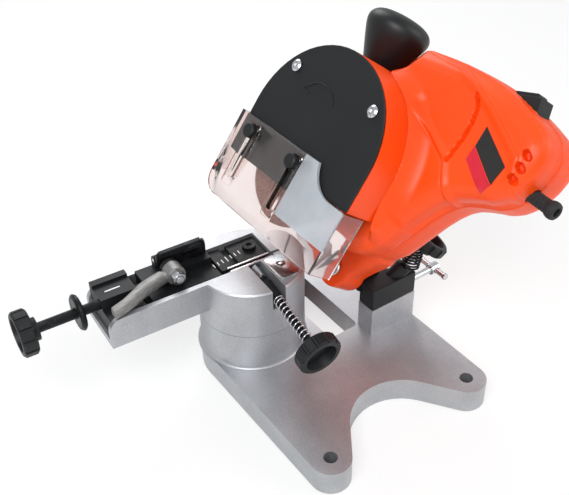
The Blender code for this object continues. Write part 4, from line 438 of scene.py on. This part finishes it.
# %% [markdown]
# The visor is clear polycarbonate, a slightly pink sheet about 2.5 mm thick. Transmission with an
# index of 1.58 bends what is behind it. Its faint scratches are kept in the roughness.

# %% Clear polycarbonate
clear = two_toned("clear_polycarbonate", "F6E9E6", 12.0, 4.0, ("F3E2DE", "FAF1EF"), (0.02, 0.12),
                  {"Transmission Weight": 1.0, "IOR": 1.58})

# %% [markdown]
# The sheet's sawn edges and slot rims scatter light and look white. A patch of the sheet beside
# the right slot is painted pale grey-blue, a painted reflection of a soft box. Both are the same
# plastic with less of the light let through.

# %% Sawn edge of the polycarbonate, and its painted reflection
sawn_edge = two_toned("sawn_polycarbonate_edge", "F4ECEA", 14.0, 4.0, ("E6DCDA", "FBF8F7"), None,
                      {"Transmission Weight": 0.45, "IOR": 1.58, "Roughness": 0.22})
painted_reflection = two_toned("wiped_hazy_polycarbonate", "D7DDE4", 14.0, 4.0, ("C3CCD6", "E2E6EA"), None,
                  {"Transmission Weight": 0.42, "IOR": 1.58, "Roughness": 0.22})
print("seven plastics are mixed")

# %% [markdown]
# ## Abrasive, copper, print and paint
#
# The wheel is pink-brown aluminium oxide grit in a hard bond. Voronoi cells give every grain its
# own shade, and their edges roughen the surface. They are drawn coarser than the real grains, which
# are finer than a pixel.

# %% The bonded grit
grit, tree, shader, place = begin("bonded_pink_aluminium_oxide", "8A5F54")
cells = add(tree, "ShaderNodeTexVoronoi", {"Scale": per_metre(0.8)}, {"Vector": place})
tint = add(tree, "ShaderNodeMix", {"data_type": "RGBA", 6: shade("6E463D"), 7: shade("B48B7E")},
           {0: cells.outputs["Color"]})
bumps = add(tree, "ShaderNodeBump", {"Strength": 0.7, "Distance": 0.25 * MM},
            {"Height": cells.outputs["Distance"]})
shader.inputs["Roughness"].default_value = 0.85
tree.links.new(tint.outputs[2], shader.inputs["Base Color"])
tree.links.new(bumps.outputs["Normal"], shader.inputs["Normal"])

# %% Enamelled copper windings, with painted shade between the turns
# One wave draws both the turns' bumps and their colour. Each groove between turns is painted dark,
# a painted shade, and each crown is painted lighter, a painted highlight.
copper, tree, shader, place = begin("enamelled_copper_winding", "9A4A22")
wire_turns_and_painted_shade = add(tree, "ShaderNodeTexWave", {"Scale": per_metre(4.0), "Distortion": 1.5},
            {"Vector": place})
tint = add(tree, "ShaderNodeMix", {"data_type": "RGBA", 6: shade("5C2A14"), 7: shade("B8632F")},
           {0: wire_turns_and_painted_shade.outputs["Fac"]})
rounds = add(tree, "ShaderNodeBump", {"Strength": 0.6, "Distance": 0.2 * MM},
             {"Height": wire_turns_and_painted_shade.outputs["Fac"]})
shader.inputs["Metallic"].default_value = 0.8
shader.inputs["Roughness"].default_value = 0.35
tree.links.new(tint.outputs[2], shader.inputs["Base Color"])
tree.links.new(rounds.outputs["Normal"], shader.inputs["Normal"])

# %% Printed vinyl in two colours, and a white paint mark
INK_SHEEN = (0.25, 0.4)
vinyl_black = two_toned("black_printed_vinyl", "1F1E1C", 6.0, 2.0, ("151515", "1F1E1C"), INK_SHEEN)
vinyl_red = two_toned("red_printed_vinyl", "D8203A", 6.0, 2.0, ("C4162A", "D8203A"), INK_SHEEN)
paint = two_toned("white_marking_paint", "F7F7F5", 6.0, 2.0, ("E9E9E6", "F7F7F5"), INK_SHEEN)
print("grit, copper and three inks are mixed")

# %% [markdown]
# ## Rounded edges
#
# No real edge is perfectly sharp. The frame's parts are exact but crisp, so each one is copied,
# its edges are bevelled, and the copy takes its place. Only edges that turn by more than 35 degrees
# are bevelled. A weighted normal keeps the big faces flat to the eye after the bevel.

# %% A softened copy of a frame part
FINISH_OF = {"cast_aluminium": cast, "bright_steel": bright, "blackened_steel": blackened,
             "black_plastic": nylon, "orange_abs": orange, "clear_polycarbonate": clear,
             "grinding_stone": grit, "zinc_lever": filed, "winding_copper": copper,
             "gland_rubber": rubber}
SLOT_OF = {finish.name: slot for slot, finish in FINISH_OF.items()}
SLOT_OF[polished.name] = "black_plastic"
SHARP = 35.0


def smooth(piece, angle=40.0):
    """Shade the piece smooth, with creases kept where it turns sharply."""
    only(piece)
    bpy.ops.object.shade_smooth_by_angle(angle=math.radians(angle))


def soften(node, width, material, edge=None, steps=2, angle=SHARP):
    """Copy a frame part, round its edges, and let the copy stand in its place."""
    piece = clay_from(node, "soft_" + node)
    piece.data.materials.append(material)
    if edge:
        piece.data.materials.append(edge)
    finish_with(piece, "BEVEL", width=width * MM, segments=steps, limit_method="ANGLE",
                angle_limit=math.radians(angle), use_clamp_overlap=True, miter_outer="MITER_ARC",
                material=1 if edge else -1)
    smooth(piece)
    finish_with(piece, "WEIGHTED_NORMAL", weight=50, keep_sharp=True)
    return settle(piece, frame["nodes"][node]["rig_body"], [node])


# %% The two castings
# The castings' bevels take the rubbed material, which is painted lighter as a painted highlight.
soften("base_casting", 1.0, cast, rubbed_edge_with_painted_highlight)
soften("vise_body", 0.9, cast, rubbed_edge_with_painted_highlight)

# %% [markdown]
# The chain vise is a stack of small parts: two steel rails that grip the chain, a sliding carriage,
# a lever that holds the chain down and a slotted plate that stops it. Each gets a bevel in keeping
# with its size, a few tenths of a millimetre on machined steel and more on the castings.

# %% The parts of the vise
for node, width, material in (
        ("rear_rail", 0.3, bright), ("clamp_jaw", 0.4, bright), ("guide_block", 0.5, nylon),
        ("guide_screw", 0.3, blackened), ("clamp_collar", 0.4, nylon), ("end_block", 0.6, nylon),
        ("carriage", 0.6, nylon), ("lever_stud", 0.3, bright), ("lever_nut", 0.4, bright),
        ("pawl_pin", 0.2, bright), ("lock_nut", 0.5, blackened)):
    soften(node, width, material)

# %% The bracket, its hinge and its screws
for node, width, material in (
        ("hinge_bracket", 0.9, nylon), ("hinge_pin", 0.4, bright),
        ("bracket_bolt_left", 0.4, bright), ("bracket_bolt_right", 0.4, bright),
        ("stop_screw", 0.3, bright), ("tbar_screw", 0.4, bright), ("tbar_bar", 0.5, bright),
        ("guard_body", 0.8, orange), ("guard_cover", 0.7, nylon),
        ("cover_screw_left", 0.3, bright), ("cover_screw_right", 0.3, bright),
        ("switch_bezel", 0.6, nylon), ("switch_rocker", 0.5, polished),
        ("spindle_nut", 0.5, bright)):
    soften(node, width, material)

# %% [markdown]
# The three star knobs are moulded with a ring of shallow flutes and a hollow face. Their flutes are
# round, so a slightly wider bevel with three steps gives the soft rubbed look of the real ones.

# %% Star knobs
for node in ("feed_knob", "clamp_knob", "stop_knob"):
    soften(node, 0.9, nylon, steps=3, angle=24.0)

# %% [markdown]
# Some parts of the vise are fuller than the frame has them. The hold-down lever is a broad bar, so
# the softened copy's arm is made taller and wider, from its foot to just before the hub. The
# clamp's threaded rod is black with a bright square end. The numbers are millimetres in the vise's
# own directions.

# %% The broad hold-down lever and the two-tone clamp rod
ARM_BEND, ARM_RUN = -58.0, 56.0
ARM_SIDE, ARM_BOW = 12.1, 18.0
ARM_FOOT, ARM_FALL = 2.7, 2.4
FULL_FROM, FULL_OVER = -65.0, 9.0
WIDER, TALLER = 0.35, 0.62
lever = soften("hold_down_lever", 0.9, filed)
lever.data.transform(VISE.inverted())
for point in lever.data.vertices:
    x, y, z = point.co / MM
    along = (ARM_BEND - x) / ARM_RUN
    share = min(max((FULL_FROM - x) / FULL_OVER, 0.0), 1.0)
    middle_y = ARM_SIDE - ARM_BOW * along ** 1.4 if along > 0.0 else ARM_SIDE
    floor_z = ARM_FOOT - ARM_FALL * along
    point.co.y += share * WIDER * (y - middle_y) * MM
    point.co.z += share * TALLER * (z - floor_z) * MM
lever.data.transform(VISE)

ROD_END = -19.5
rod = soften("clamp_screw", 0.3, blackened)
rod.data.materials.append(bright)
for face in rod.data.polygons:
    if (VISE.inverted() @ face.center).y > ROD_END * MM:
        face.material_index = 1
print("the lever is", round(lever.dimensions.z / MM, 1), "mm tall")

# %% [markdown]
# ## The moulded housing
#
# The motor housing is the eye-catcher. It is one flowing ABS moulding with soft ridges, a hollow
# beside the guard, a curved groove and three air vents. Such forms need many small faces, so each
# shell is remeshed to an even skin, laid down in the head's own directions.
#
# The handle's neck shows in front of the housing, in a notch that opens forwards. The notch is the
# hull of two slim cones, one round the neck and one moved out to the front left, and it is taken
# out of both shells before they are remeshed.

# %% The notch for the handle's neck
NECK_DEPTH, NECK_ACROSS = 34.0, 14.0
NOTCH_UP, NOTCH_RUN = 182.0, 44.0
bpy.ops.object.select_all(action="DESELECT")
cones = []
for shift in (0.0, NOTCH_RUN):
    middle = head_point(NECK_DEPTH - 0.74 * shift, NECK_ACROSS - 0.67 * shift, NOTCH_UP)
    bpy.ops.mesh.primitive_cone_add(vertices=40, radius1=9.0 * MM, radius2=26.5 * MM,
                                    depth=42.0 * MM, location=middle,
                                    rotation=HEAD.to_euler())
    cones.append(bpy.context.object)
for cone in cones:
    cone.select_set(True)
bpy.ops.object.join()
neck_room = bpy.context.object
open_up(neck_room)
bpy.ops.mesh.convex_hull()
close_up()
neck_room.name = "notch_cutter"
print("the notch cutter has", len(neck_room.data.polygons), "faces")


# %% An even skin of small faces, in the head's own directions
def even_skin(node, name, voxel):
    """The shell as evenly sized small faces, smoothed just enough to lose the stair steps."""
    skin = clay_from(node, name)
    finish_with(skin, "BOOLEAN", operation="DIFFERENCE", solver="EXACT", object=neck_room)
    skin.data.transform(HEAD.inverted())
    skin.data.remesh_voxel_size = voxel * MM
    only(skin)
    bpy.ops.object.voxel_remesh()
    finish_with(skin, "CORRECTIVE_SMOOTH", iterations=4, factor=0.5, smooth_type="SIMPLE",
                use_only_smooth=True)
    print(name, "has", len(skin.data.polygons), "even faces")
    return skin


front_skin = even_skin("front_shell", "moulded_front_shell", 1.35)
rear_skin = even_skin("rear_shell", "moulded_rear_shell", 1.7)
bpy.data.objects.remove(neck_room)

# %% [markdown]
# The lines of the moulding are drawn as seen from the front of the head: across it and up it, in
# millimetres. Ridges and steps use the distance to a line and the side it lies on.

# %% The lines drawn on the front of the housing
GUARD_RADIUS = 66.6
LONG_RIDGE = [(0.0, 166.2), (-12.6, 165.8), (-38.1, 164.7), (-52.0, 160.2), (-66.5, 153.8),
              (-92.4, 140.9), (-108.4, 116.3), (-120.0, 98.0)]
SHOULDER = [(-20.0, 202.5), (-43.1, 201.3), (-71.6, 200.1), (-86.8, 196.0), (-108.9, 186.2),
            (-144.0, 167.0), (-151.7, 144.2), (-154.0, 132.0)]
LEG_CREASE = [(-40.0, 108.0), (-72.0, 97.0), (-88.4, 84.6), (-100.0, 74.0)]
NECK_CREASE = [(-40.7, 165.5), (-54.2, 180.8), (-66.0, 196.0)]
CURVED_GROOVE = [(-89.4, 189.7), (-92.6, 187.1), (-95.4, 182.8), (-96.9, 177.8), (-98.2, 171.6),
                 (-98.6, 165.4), (-98.3, 159.5), (-97.6, 153.5), (-96.5, 142.3)]
VENTS = [(-148.6, 170.8), (-148.9, 161.8), (-148.2, 152.8)]
VENT_LEAN = (-0.84, -0.54)
VENT_HALF_LENGTH, VENT_HALF_WIDTH = 4.6, 2.9


def measure(line, across, up):
    """Distance from each place to a drawn line, and the same with a sign: positive beyond it."""
    nearest = np.full(len(across), 1e9)
    signed = np.zeros(len(across))
    for (a0, v0), (a1, v1) in zip(line[:-1], line[1:]):
        run_a, run_v = a1 - a0, v1 - v0
        part = ((across - a0) * run_a + (up - v0) * run_v) / (run_a ** 2 + run_v ** 2)
        part = np.clip(part, 0.0, 1.0)
        off_a, off_v = across - a0 - part * run_a, up - v0 - part * run_v
        gap = np.hypot(off_a, off_v)
        closer = gap < nearest
        beyond = np.sign(run_v * off_a - run_a * off_v)
        signed = np.where(closer, beyond * gap, signed)
        nearest = np.where(closer, gap, nearest)
    return nearest, signed


def ease(x):
    """A soft step from 0 to 1."""
    x = np.clip(x, 0.0, 1.0)
    return x * x * (3.0 - 2.0 * x)


def vent_reach(across, up):
    """How deep inside the nearest vent a place lies: 1 at its middle, 0 at its edge and outside."""
    reach = np.zeros(len(across))
    for a, v in VENTS:
        lengthways = (across - a) * VENT_LEAN[0] + (up - v) * VENT_LEAN[1]
        sideways = (across - a) * VENT_LEAN[1] - (up - v) * VENT_LEAN[0]
        reach = np.maximum(reach, 1.0 - np.hypot(lengthways / VENT_HALF_LENGTH,
                                                 sideways / VENT_HALF_WIDTH))
    return reach


# %% [markdown]
# The narrow grooves need finer faces than the sides and the back, so every face on the front is
# split once before anything moves.

# %% Split the faces of the front
FRONT_DEPTH = 27.0
front = points_of(front_skin)[:, 0] / MM < FRONT_DEPTH
open_up(front_skin, "DESELECT")
close_up()
front_skin.data.vertices.foreach_set("select", front)
bpy.ops.object.mode_set(mode="EDIT")
bpy.ops.mesh.select_mode(type="VERT")
bpy.ops.mesh.subdivide(number_cuts=1)
close_up()
print(front_skin.name, "now has", len(front_skin.data.polygons), "faces")

# %% [markdown]
# Every point then moves in or out along its own direction, by a height that is added up from all
# the shapes. The skin climbs the guard's side in a round hollow, the ridges stand about a
# millimetre proud, the groove is four and a half deep, and the vents go in by eight, so they look
# dark. Their soft edge also lowers the flat front around them by about half a millimetre. HEIGHTS
# says how far each shape stands out, and the numbers beside the shapes are the widths over which
# they start and end, all in millimetres.

# %% Raise the ridges and sink the grooves
HEIGHTS = {"climb": 9.5, "hollow": -2.4, "ridge": 0.8, "ridge_foot": -0.6, "shoulder": -0.9,
           "shoulder_line": -0.9, "neck": -2.2, "leg_crease": -0.8, "groove": -4.5, "vents": -8.0}


def bump_line(gap, width):
    """A round ridge: 1 on its line, and falling away over its width."""
    return np.exp(-(gap / width) ** 2)


def relief(skin):
    """Move the skin's front by the heights of the drawn lines."""
    places, facing = points_of(skin), points_of(skin, "normal")
    depth, across, up = places.T / MM
    front = ease((0.55 - facing[:, 0]) / 0.6) * ease((46.0 - depth) / 8.0)
    flat = ease((-facing[:, 0] - 0.35) / 0.4)
    ridge, shoulder, crease, neck = (measure(line, across, up)[1] for line in
                                     (LONG_RIDGE, SHOULDER, LEG_CREASE, NECK_CREASE))
    groove = measure(CURVED_GROOVE, across, up)[0]
    outside = np.hypot(across - WHEEL_ACROSS, np.maximum(up - WHEEL_UP, 0.0)) - GUARD_RADIUS
    climb = np.where(outside > 0.0, np.clip(1.0 - outside / 13.0, 0.0, 1.0) ** 2,
                     np.clip(1.0 + outside / 2.4, 0.0, 1.0))
    shapes = {
        "climb": climb * ease((up - 62.0) / 16.0) * ease((-across - 5.0) / 30.0),
        "hollow": ease(outside / 14.0) * ease((1.2 - ridge) / 2.4) * ease((crease + 1.0) / 2.5),
        "ridge": ease(ridge / 3.0) * bump_line(ridge, 16.0),
        "ridge_foot": bump_line(ridge + 0.8, 1.1) * ease((across + 110.0) / 6.0),
        "shoulder": ease(shoulder / 3.0),
        "shoulder_line": bump_line(shoulder, 0.8),
        "neck": ease(-neck / 9.0) * ease(ridge / 7.0) * ease(-shoulder / 8.0),
        "leg_crease": bump_line(crease + 0.6, 1.1) * ease((outside - 2.0) / 5.0),
        "groove": flat * ease((1.9 - groove) / 0.9),
        "vents": flat * ease((vent_reach(across, up) + 0.05) / 0.3)}
    height = sum(HEIGHTS[name] * share for name, share in shapes.items())
    places += facing * (height * front)[:, None] * MM
    skin.data.vertices.foreach_set("co", places.ravel())
    skin.data.update()
    print(skin.name, "moved by", round(float(height.min()), 2), "to", round(float(height.max()), 2))


relief(front_skin)

# %% Put both shells back on the head
ROUND = 60.0
for skin, node in ((front_skin, "front_shell"), (rear_skin, "rear_shell")):
    skin.data.transform(HEAD)
    skin.data.update()
    smooth(skin, ROUND)
    dress(skin, "head", [node], orange)

# %% [markdown]
# ## Turned pieces
#
# The handle and the cord's sleeve are round about one line, so a half outline is drawn once and
# spun. Doubles are merged first and the faces are then turned to look outwards.

# %% Spin a half outline about a line
def spun(name, outline, foot, direction, steps=56):
    """Spin (radius, height) points, in millimetres, about a line that starts at foot."""
    shape = bpy.data.meshes.new(name)
    points = [(r * MM, 0.0, h * MM) for r, h in outline]
    shape.from_pydata(points, [(i, i + 1) for i in range(len(points) - 1)], [])
    piece = bpy.data.objects.new(name, shape)
    bpy.context.scene.collection.objects.link(piece)
    open_up(piece)
    bpy.ops.mesh.spin(steps=steps, angle=2.0 * math.pi, center=(0.0, 0.0, 0.0),
                      axis=(0.0, 0.0, 1.0))
    bpy.ops.mesh.select_all(action="SELECT")
    bpy.ops.mesh.remove_doubles(threshold=WELD)
    bpy.ops.mesh.normals_make_consistent(inside=False)
    close_up()
    piece.data.transform(Matrix.Translation(foot)
                         @ direction.to_track_quat("Z", "Y").to_matrix().to_4x4())
    smooth(piece, 32.0)
    return piece


HANDLE_FOOT = head_point(NECK_DEPTH, NECK_ACROSS, 176.0)
handle = spun("rounded_handle", [
    (0.0, 40.0), (7.0, 39.8), (14.0, 39.0), (19.5, 37.4), (23.2, 35.0), (25.3, 32.0), (26.0, 29.0),
    (25.6, 25.6), (24.2, 21.5), (21.8, 16.0), (18.2, 8.0), (14.4, 0.0), (12.6, -4.0),
    (10.2, -9.5), (8.4, -15.0), (7.2, -16.0), (0.0, -16.0)],
    HANDLE_FOOT, head_way(0.0, 0.0, 1.0).normalized())
finish_with(handle, "SUBSURF", levels=1, render_levels=1)
dress(handle, "head", ["handle"], polished)

# %% The cord's rubber sleeve, with the rings that let it bend
SLEEVE_FOOT, SLEEVE_DROP = head_point(44.0, -154.0, 150.0), math.radians(4.0)
RING_PITCH = 3.0
sleeve_way = head_way(0.0, -math.cos(SLEEVE_DROP), -math.sin(SLEEVE_DROP)).normalized()
half = [(0.0, 18.0), (3.2, 18.0), (3.2, 20.4), (3.6, 21.0), (4.6, 21.0), (5.8, 20.2), (6.4, 18.6),
        (6.4, 16.6), (5.9, 14.6), (5.1, 13.2)]
for ring in range(4):
    start = 12.4 - RING_PITCH * ring
    half += [(5.0, start), (5.0, start - 1.7), (4.6, start - 2.0), (4.6, start - 2.7)]
half += [(5.0, 0.0), (5.0, -6.0), (0.0, -6.0)]
sleeve = spun("ringed_rubber_sleeve", half, SLEEVE_FOOT, sleeve_way)
dress(sleeve, "head", ["cable_gland"], rubber)

# %% [markdown]
# ## Springs
#
# Each spring is one round wire wound up at an even pitch, with a closed turn at both ends. The wire
# is a curve with a round thickness, and it becomes a mesh. Its place is measured on the frame's own
# spring, which it stands for.

# %% A round wire through a row of places
def drawn_wire(name, places, thick, roundness):
    """A wire of radius thick (mm) through places on the bench, as a mesh."""
    line = bpy.data.curves.new(name, "CURVE")
    line.dimensions = "3D"
    line.bevel_depth = thick * MM
    line.bevel_resolution = roundness
    line.use_fill_caps = True
    spline = line.splines.new("POLY")
    spline.points.add(len(places) - 1)
    for point, place in zip(spline.points, places):
        point.co = (*place, 1.0)
    wire = bpy.data.objects.new(name, line)
    bpy.context.scene.collection.objects.link(wire)
    only(wire)
    bpy.ops.object.convert(target="MESH")
    wire = bpy.context.object
    smooth(wire, ROUND)
    return wire


# %% Wind a spring in the place of the frame's spring
STEPS_A_TURN = 28
CLOSED_TURN = 0.8


def wind(node, name, direction, wire, turns, material, body):
    """A fuller coil along direction, measured on the frame's plain coil."""
    turn = direction.to_track_quat("Z", "Y").to_matrix()
    local = points_of(frame["nodes"][node]) @ np.array(turn)
    low, high = local.min(axis=0), local.max(axis=0)
    middle = (low + high) / 2.0
    radius = float(min(high[0] - low[0], high[1] - low[1])) / 2.0 - wire * MM
    start, length = low[2] + wire * MM, high[2] - low[2] - 2.0 * wire * MM
    steps = int(turns * STEPS_A_TURN)
    closed = CLOSED_TURN / turns
    lift = 2.0 * wire * MM * CLOSED_TURN
    places = []
    for i in range(steps + 1):
        share = i / steps
        rise = np.clip((share - closed) / (1.0 - 2.0 * closed), 0.0, 1.0)
        height = start + lift * min(share / closed, 1.0) + (length - 2.0 * lift) * rise
        height += lift * max((share - 1.0 + closed) / closed, 0.0)
        swing = 2.0 * math.pi * turns * share
        places.append(turn @ Vector((middle[0] + radius * math.cos(swing),
                                     middle[1] + radius * math.sin(swing), height)))
    coil = drawn_wire(name, places, wire, 3)
    print(name, "is", round(2.0 * radius / MM, 1), "mm across,", round(length / MM, 1), "mm long")
    return dress(coil, body, [node], material)


CLAMP_DROP, STOP_LEAN = math.radians(11.3), math.radians(15.0)
clamp_way = VISE.to_3x3() @ Vector((0.0, -math.cos(CLAMP_DROP), -math.sin(CLAMP_DROP)))
stop_way = Vector((math.sin(STOP_LEAN), 0.0, math.cos(STOP_LEAN)))
wind("clamp_spring", "wound_clamp_spring", clamp_way, 0.6, 12, bright, "vise")
wind("return_spring", "wound_return_spring", head_way(1.0, 0.0, 0.0), 0.8, 4, bright, "base")
wind("stop_spring", "wound_stop_spring", stop_way, 0.8, 7, blackened, "base")

# %% [markdown]
# ## The clear visor
#
# The visor is a bent sheet with two slots. Its softened copy shows three finishes: clear sheet,
# white sawn edges, which are the faces of the bevel, and a painted reflection of a soft box beside
# the right slot. The sheet is bisected beside that slot so that the painted reflection has an edge
# to stop at.

# %% The visor's sheet, edges and painted reflection
REFLECTION_RIGHT, REFLECTION_LEFT, REFLECTION_FOOT = -19.4, -76.0, 47.0
REFLECTION_BACK, REFLECTION_FRONT = -20.0, -23.2
visor = soften("visor", 0.5, clear, sawn_edge)
# The third material is the pale patch, a painted reflection of a soft box.
visor.data.materials.append(painted_reflection)
for place, way in ((head_point(0.0, REFLECTION_RIGHT, 0.0), head_way(0.0, 1.0, 0.0)),
                   (head_point(0.0, 0.0, REFLECTION_FOOT), head_way(0.0, 0.0, 1.0))):
    open_up(visor)
    bpy.ops.mesh.bisect(plane_co=place, plane_no=way)
    close_up()
for face in visor.data.polygons:
    d, a, v = (HEAD.inverted() @ face.center) / MM
    if (face.material_index == 0 and REFLECTION_LEFT < a < REFLECTION_RIGHT and v > REFLECTION_FOOT
            and REFLECTION_FRONT < d < REFLECTION_BACK):
        face.material_index = 2
print("the visor has", len(visor.data.polygons), "faces")

# %% The two clamping knobs of the visor, seated close to the sheet
SEAT, FLATTER = -24.6 * MM, 0.6
for side in ("left", "right"):
    knob = soften("visor_knob_" + side, 0.8, polished)
    knob.data.transform(HEAD.inverted())
    for point in knob.data.vertices:
        if point.co.x < SEAT:
            point.co.x = SEAT + (point.co.x - SEAT) * FLATTER
    knob.data.transform(HEAD)

# %% [markdown]
# ## The direction arrow on the cover
#
# A moulded arrow shows which way the wheel turns. It is a thin raised line: a round wire sunk
# halfway into the cover.

# %% The arrow's bow and its tip
COVER_FACE = -19.15
ARROW_ACROSS, ARROW_UP, ARROW_RADIUS = 2.0, 124.0, 20.0
bow = [(ARROW_ACROSS + ARROW_RADIUS * math.cos(math.radians(t)),
        ARROW_UP + ARROW_RADIUS * math.sin(math.radians(t))) for t in range(150, 34, -6)]
end_a, end_v = bow[-1]
tip = [(end_a - 7.0, end_v + 5.5), (end_a + 1.5, end_v - 1.0), (end_a - 5.6, end_v - 3.4)]
for name, line, thick in (("cover_arrow_bow", bow, 0.5), ("cover_arrow_tip", tip, 0.55)):
    places = [head_point(COVER_FACE, a, v) for a, v in line]
    dress(drawn_wire(name, places, thick, 2), "head", [], nylon)

# %% [markdown]
# ## The label's place
#
# The label is a thin printed sheet in two colours. A flat grid is laid over the housing, pressed
# onto its skin by a Shrinkwrap modifier and given the thickness of the vinyl.

# %% Press a four-cornered sheet onto the housing
def sheet_on_shell(name, corners, material):
    """A vinyl sheet with the given corners, in head millimetres, lying on the front shell."""
    bpy.ops.object.select_all(action="DESELECT")
    bpy.ops.mesh.primitive_plane_add(size=1.0)
    sheet = bpy.context.object
    sheet.name = name
    for point, (a, v) in zip(sheet.data.vertices, (corners[0], corners[1], corners[3], corners[2])):
        point.co = head_point(14.0, a, v)
    open_up(sheet)
    bpy.ops.mesh.subdivide(number_cuts=14)
    close_up()
    for flat in (sheet, front_skin):
        flat.data.transform(HEAD.inverted())
    finish_with(sheet, "SHRINKWRAP", target=front_skin, wrap_method="PROJECT", use_project_x=True,
                use_positive_direction=True, use_negative_direction=True, offset=0.12 * MM,
                wrap_mode="ABOVE_SURFACE")
    for flat in (front_skin, sheet):
        flat.data.transform(HEAD)
    if sum(face.normal.dot(head_way(-1.0, 0.0, 0.0)) for face in sheet.data.polygons) < 0.0:
        open_up(sheet)
        bpy.ops.mesh.flip_normals()
        close_up()
    finish_with(sheet, "SOLIDIFY", thickness=0.5 * MM, offset=0.0)
    smooth(sheet)
    return dress(sheet, "head", [], material)


sheet_on_shell("label_upper", [(-110.4, 174.3), (-138.7, 157.6), (-136.1, 142.9), (-110.4, 159.6)],
               vinyl_black)
sheet_on_shell("label_lower", [(-110.0, 159.2), (-135.8, 142.4), (-131.0, 134.4), (-109.4, 149.2)],
               vinyl_red)

# %% [markdown]
# ## Small things on the vise
#
# A slotted stop plate stands behind the lever, a short scale is painted beside the rails, and a
# thin steel plate with a countersunk screw covers the turret beside the clamp. Each starts as a
# block at its size and place, and a bevel on the edges that run one way rounds its corners.

# %% A thin plate in the vise's own directions
def block(name, low, high):
    """A cuboid between two corners, in the vise's millimetres above the turret."""
    bpy.ops.object.select_all(action="DESELECT")
    bpy.ops.mesh.primitive_cube_add(size=1.0)
    made = bpy.context.object
    made.name = name
    low, high = Vector(low) * MM, Vector(high) * MM
    made.data.transform(Matrix.Translation((low + high) / 2.0)
                        @ Matrix.Diagonal((*(high - low), 1.0)))
    return made


def small_plate(name, low, high, corner, upright, material, body):
    """A plate with its edges broken, and rounded corners (mm) on the edges along upright."""
    small = block(name, low, high)
    if corner:
        open_up(small, "DESELECT")
        bpy.ops.mesh.select_mode(type="EDGE")
        close_up()
        for edge in small.data.edges:
            first, last = (small.data.vertices[i].co for i in edge.vertices)
            edge.select = abs(first[upright] - last[upright]) > WELD
        bpy.ops.object.mode_set(mode="EDIT")
        bpy.ops.mesh.bevel(offset=corner * MM, segments=5, affect="EDGES")
        close_up()
    thinnest = min(b - a for a, b in zip(low, high))
    finish_with(small, "BEVEL", width=min(0.35, 0.3 * thinnest) * MM, segments=2,
                limit_method="ANGLE", angle_limit=math.radians(SHARP))
    small.data.transform(VISE)
    smooth(small)
    return dress(small, body, [], material)


# %% The stop plate with its slot
stop = small_plate("slotted_stop_plate", (-66.0, 23.0, 3.0), (-26.5, 26.2, 17.5), 4.0, 1, blackened,
                   "pawl")
slot_cutter = block("slot_cutter", (-45.5, 20.1, 8.7), (-30.5, 29.1, 11.3))
slot_cutter.data.transform(VISE)
finish_with(stop, "BOOLEAN", operation="DIFFERENCE", solver="EXACT", object=slot_cutter)
bpy.data.objects.remove(slot_cutter)

# %% The short scale beside the rails, seven strokes with a long one in the middle
STROKES, STROKE_STEP = 7, (4.1, 0.85)
SHORT_HALF, LONG_HALF, STROKE_WIDTH = 2.2, 3.2, 0.7
for stroke in range(STROKES):
    x = -25.0 + STROKE_STEP[0] * stroke
    y = 12.2 + STROKE_STEP[1] * stroke
    half = LONG_HALF if stroke == STROKES // 2 else SHORT_HALF
    small_plate("scale_stroke_" + str(stroke), (x, y - half, -3.05),
                (x + STROKE_WIDTH, y + half, -2.8), 0, 2, paint, "vise")

# %% The steel plate beside the clamp, and its countersunk screw
small_plate("turret_cover_plate", (8.2, -33.0, 0.05), (25.5, -5.0, 0.95), 4.0, 2, bright, "vise")
cover_screw = spun("turret_cover_screw", [(0.0, 0.9), (1.4, 0.9), (1.5, 1.35), (3.6, 1.5),
                                          (4.3, 1.2), (4.5, 0.6), (0.0, 0.6)],
                   VISE @ Vector((17.4 * MM, -16.0 * MM, 0.0)), Vector((0.0, 0.0, 1.0)), 32)
dress(cover_screw, "vise", [], bright)

# %% A white line painted on the end block
small_plate("slider_mark", (-110.5, 18.6, 5.75), (-98.5, 19.8, 5.95), 0, 2, paint, "vise")

# %% The frame parts that stay, in their own materials
for name, part in frame["nodes"].items():
    for slot in part.material_slots:
        key = slot.material.name.split(".")[0] if slot.material else ""
        if key in FINISH_OF:
            slot.material = FINISH_OF[key]
        elif not key.startswith(tuple(m.name for m in FINISH_OF.values())):
            print("no finish for", name, key)
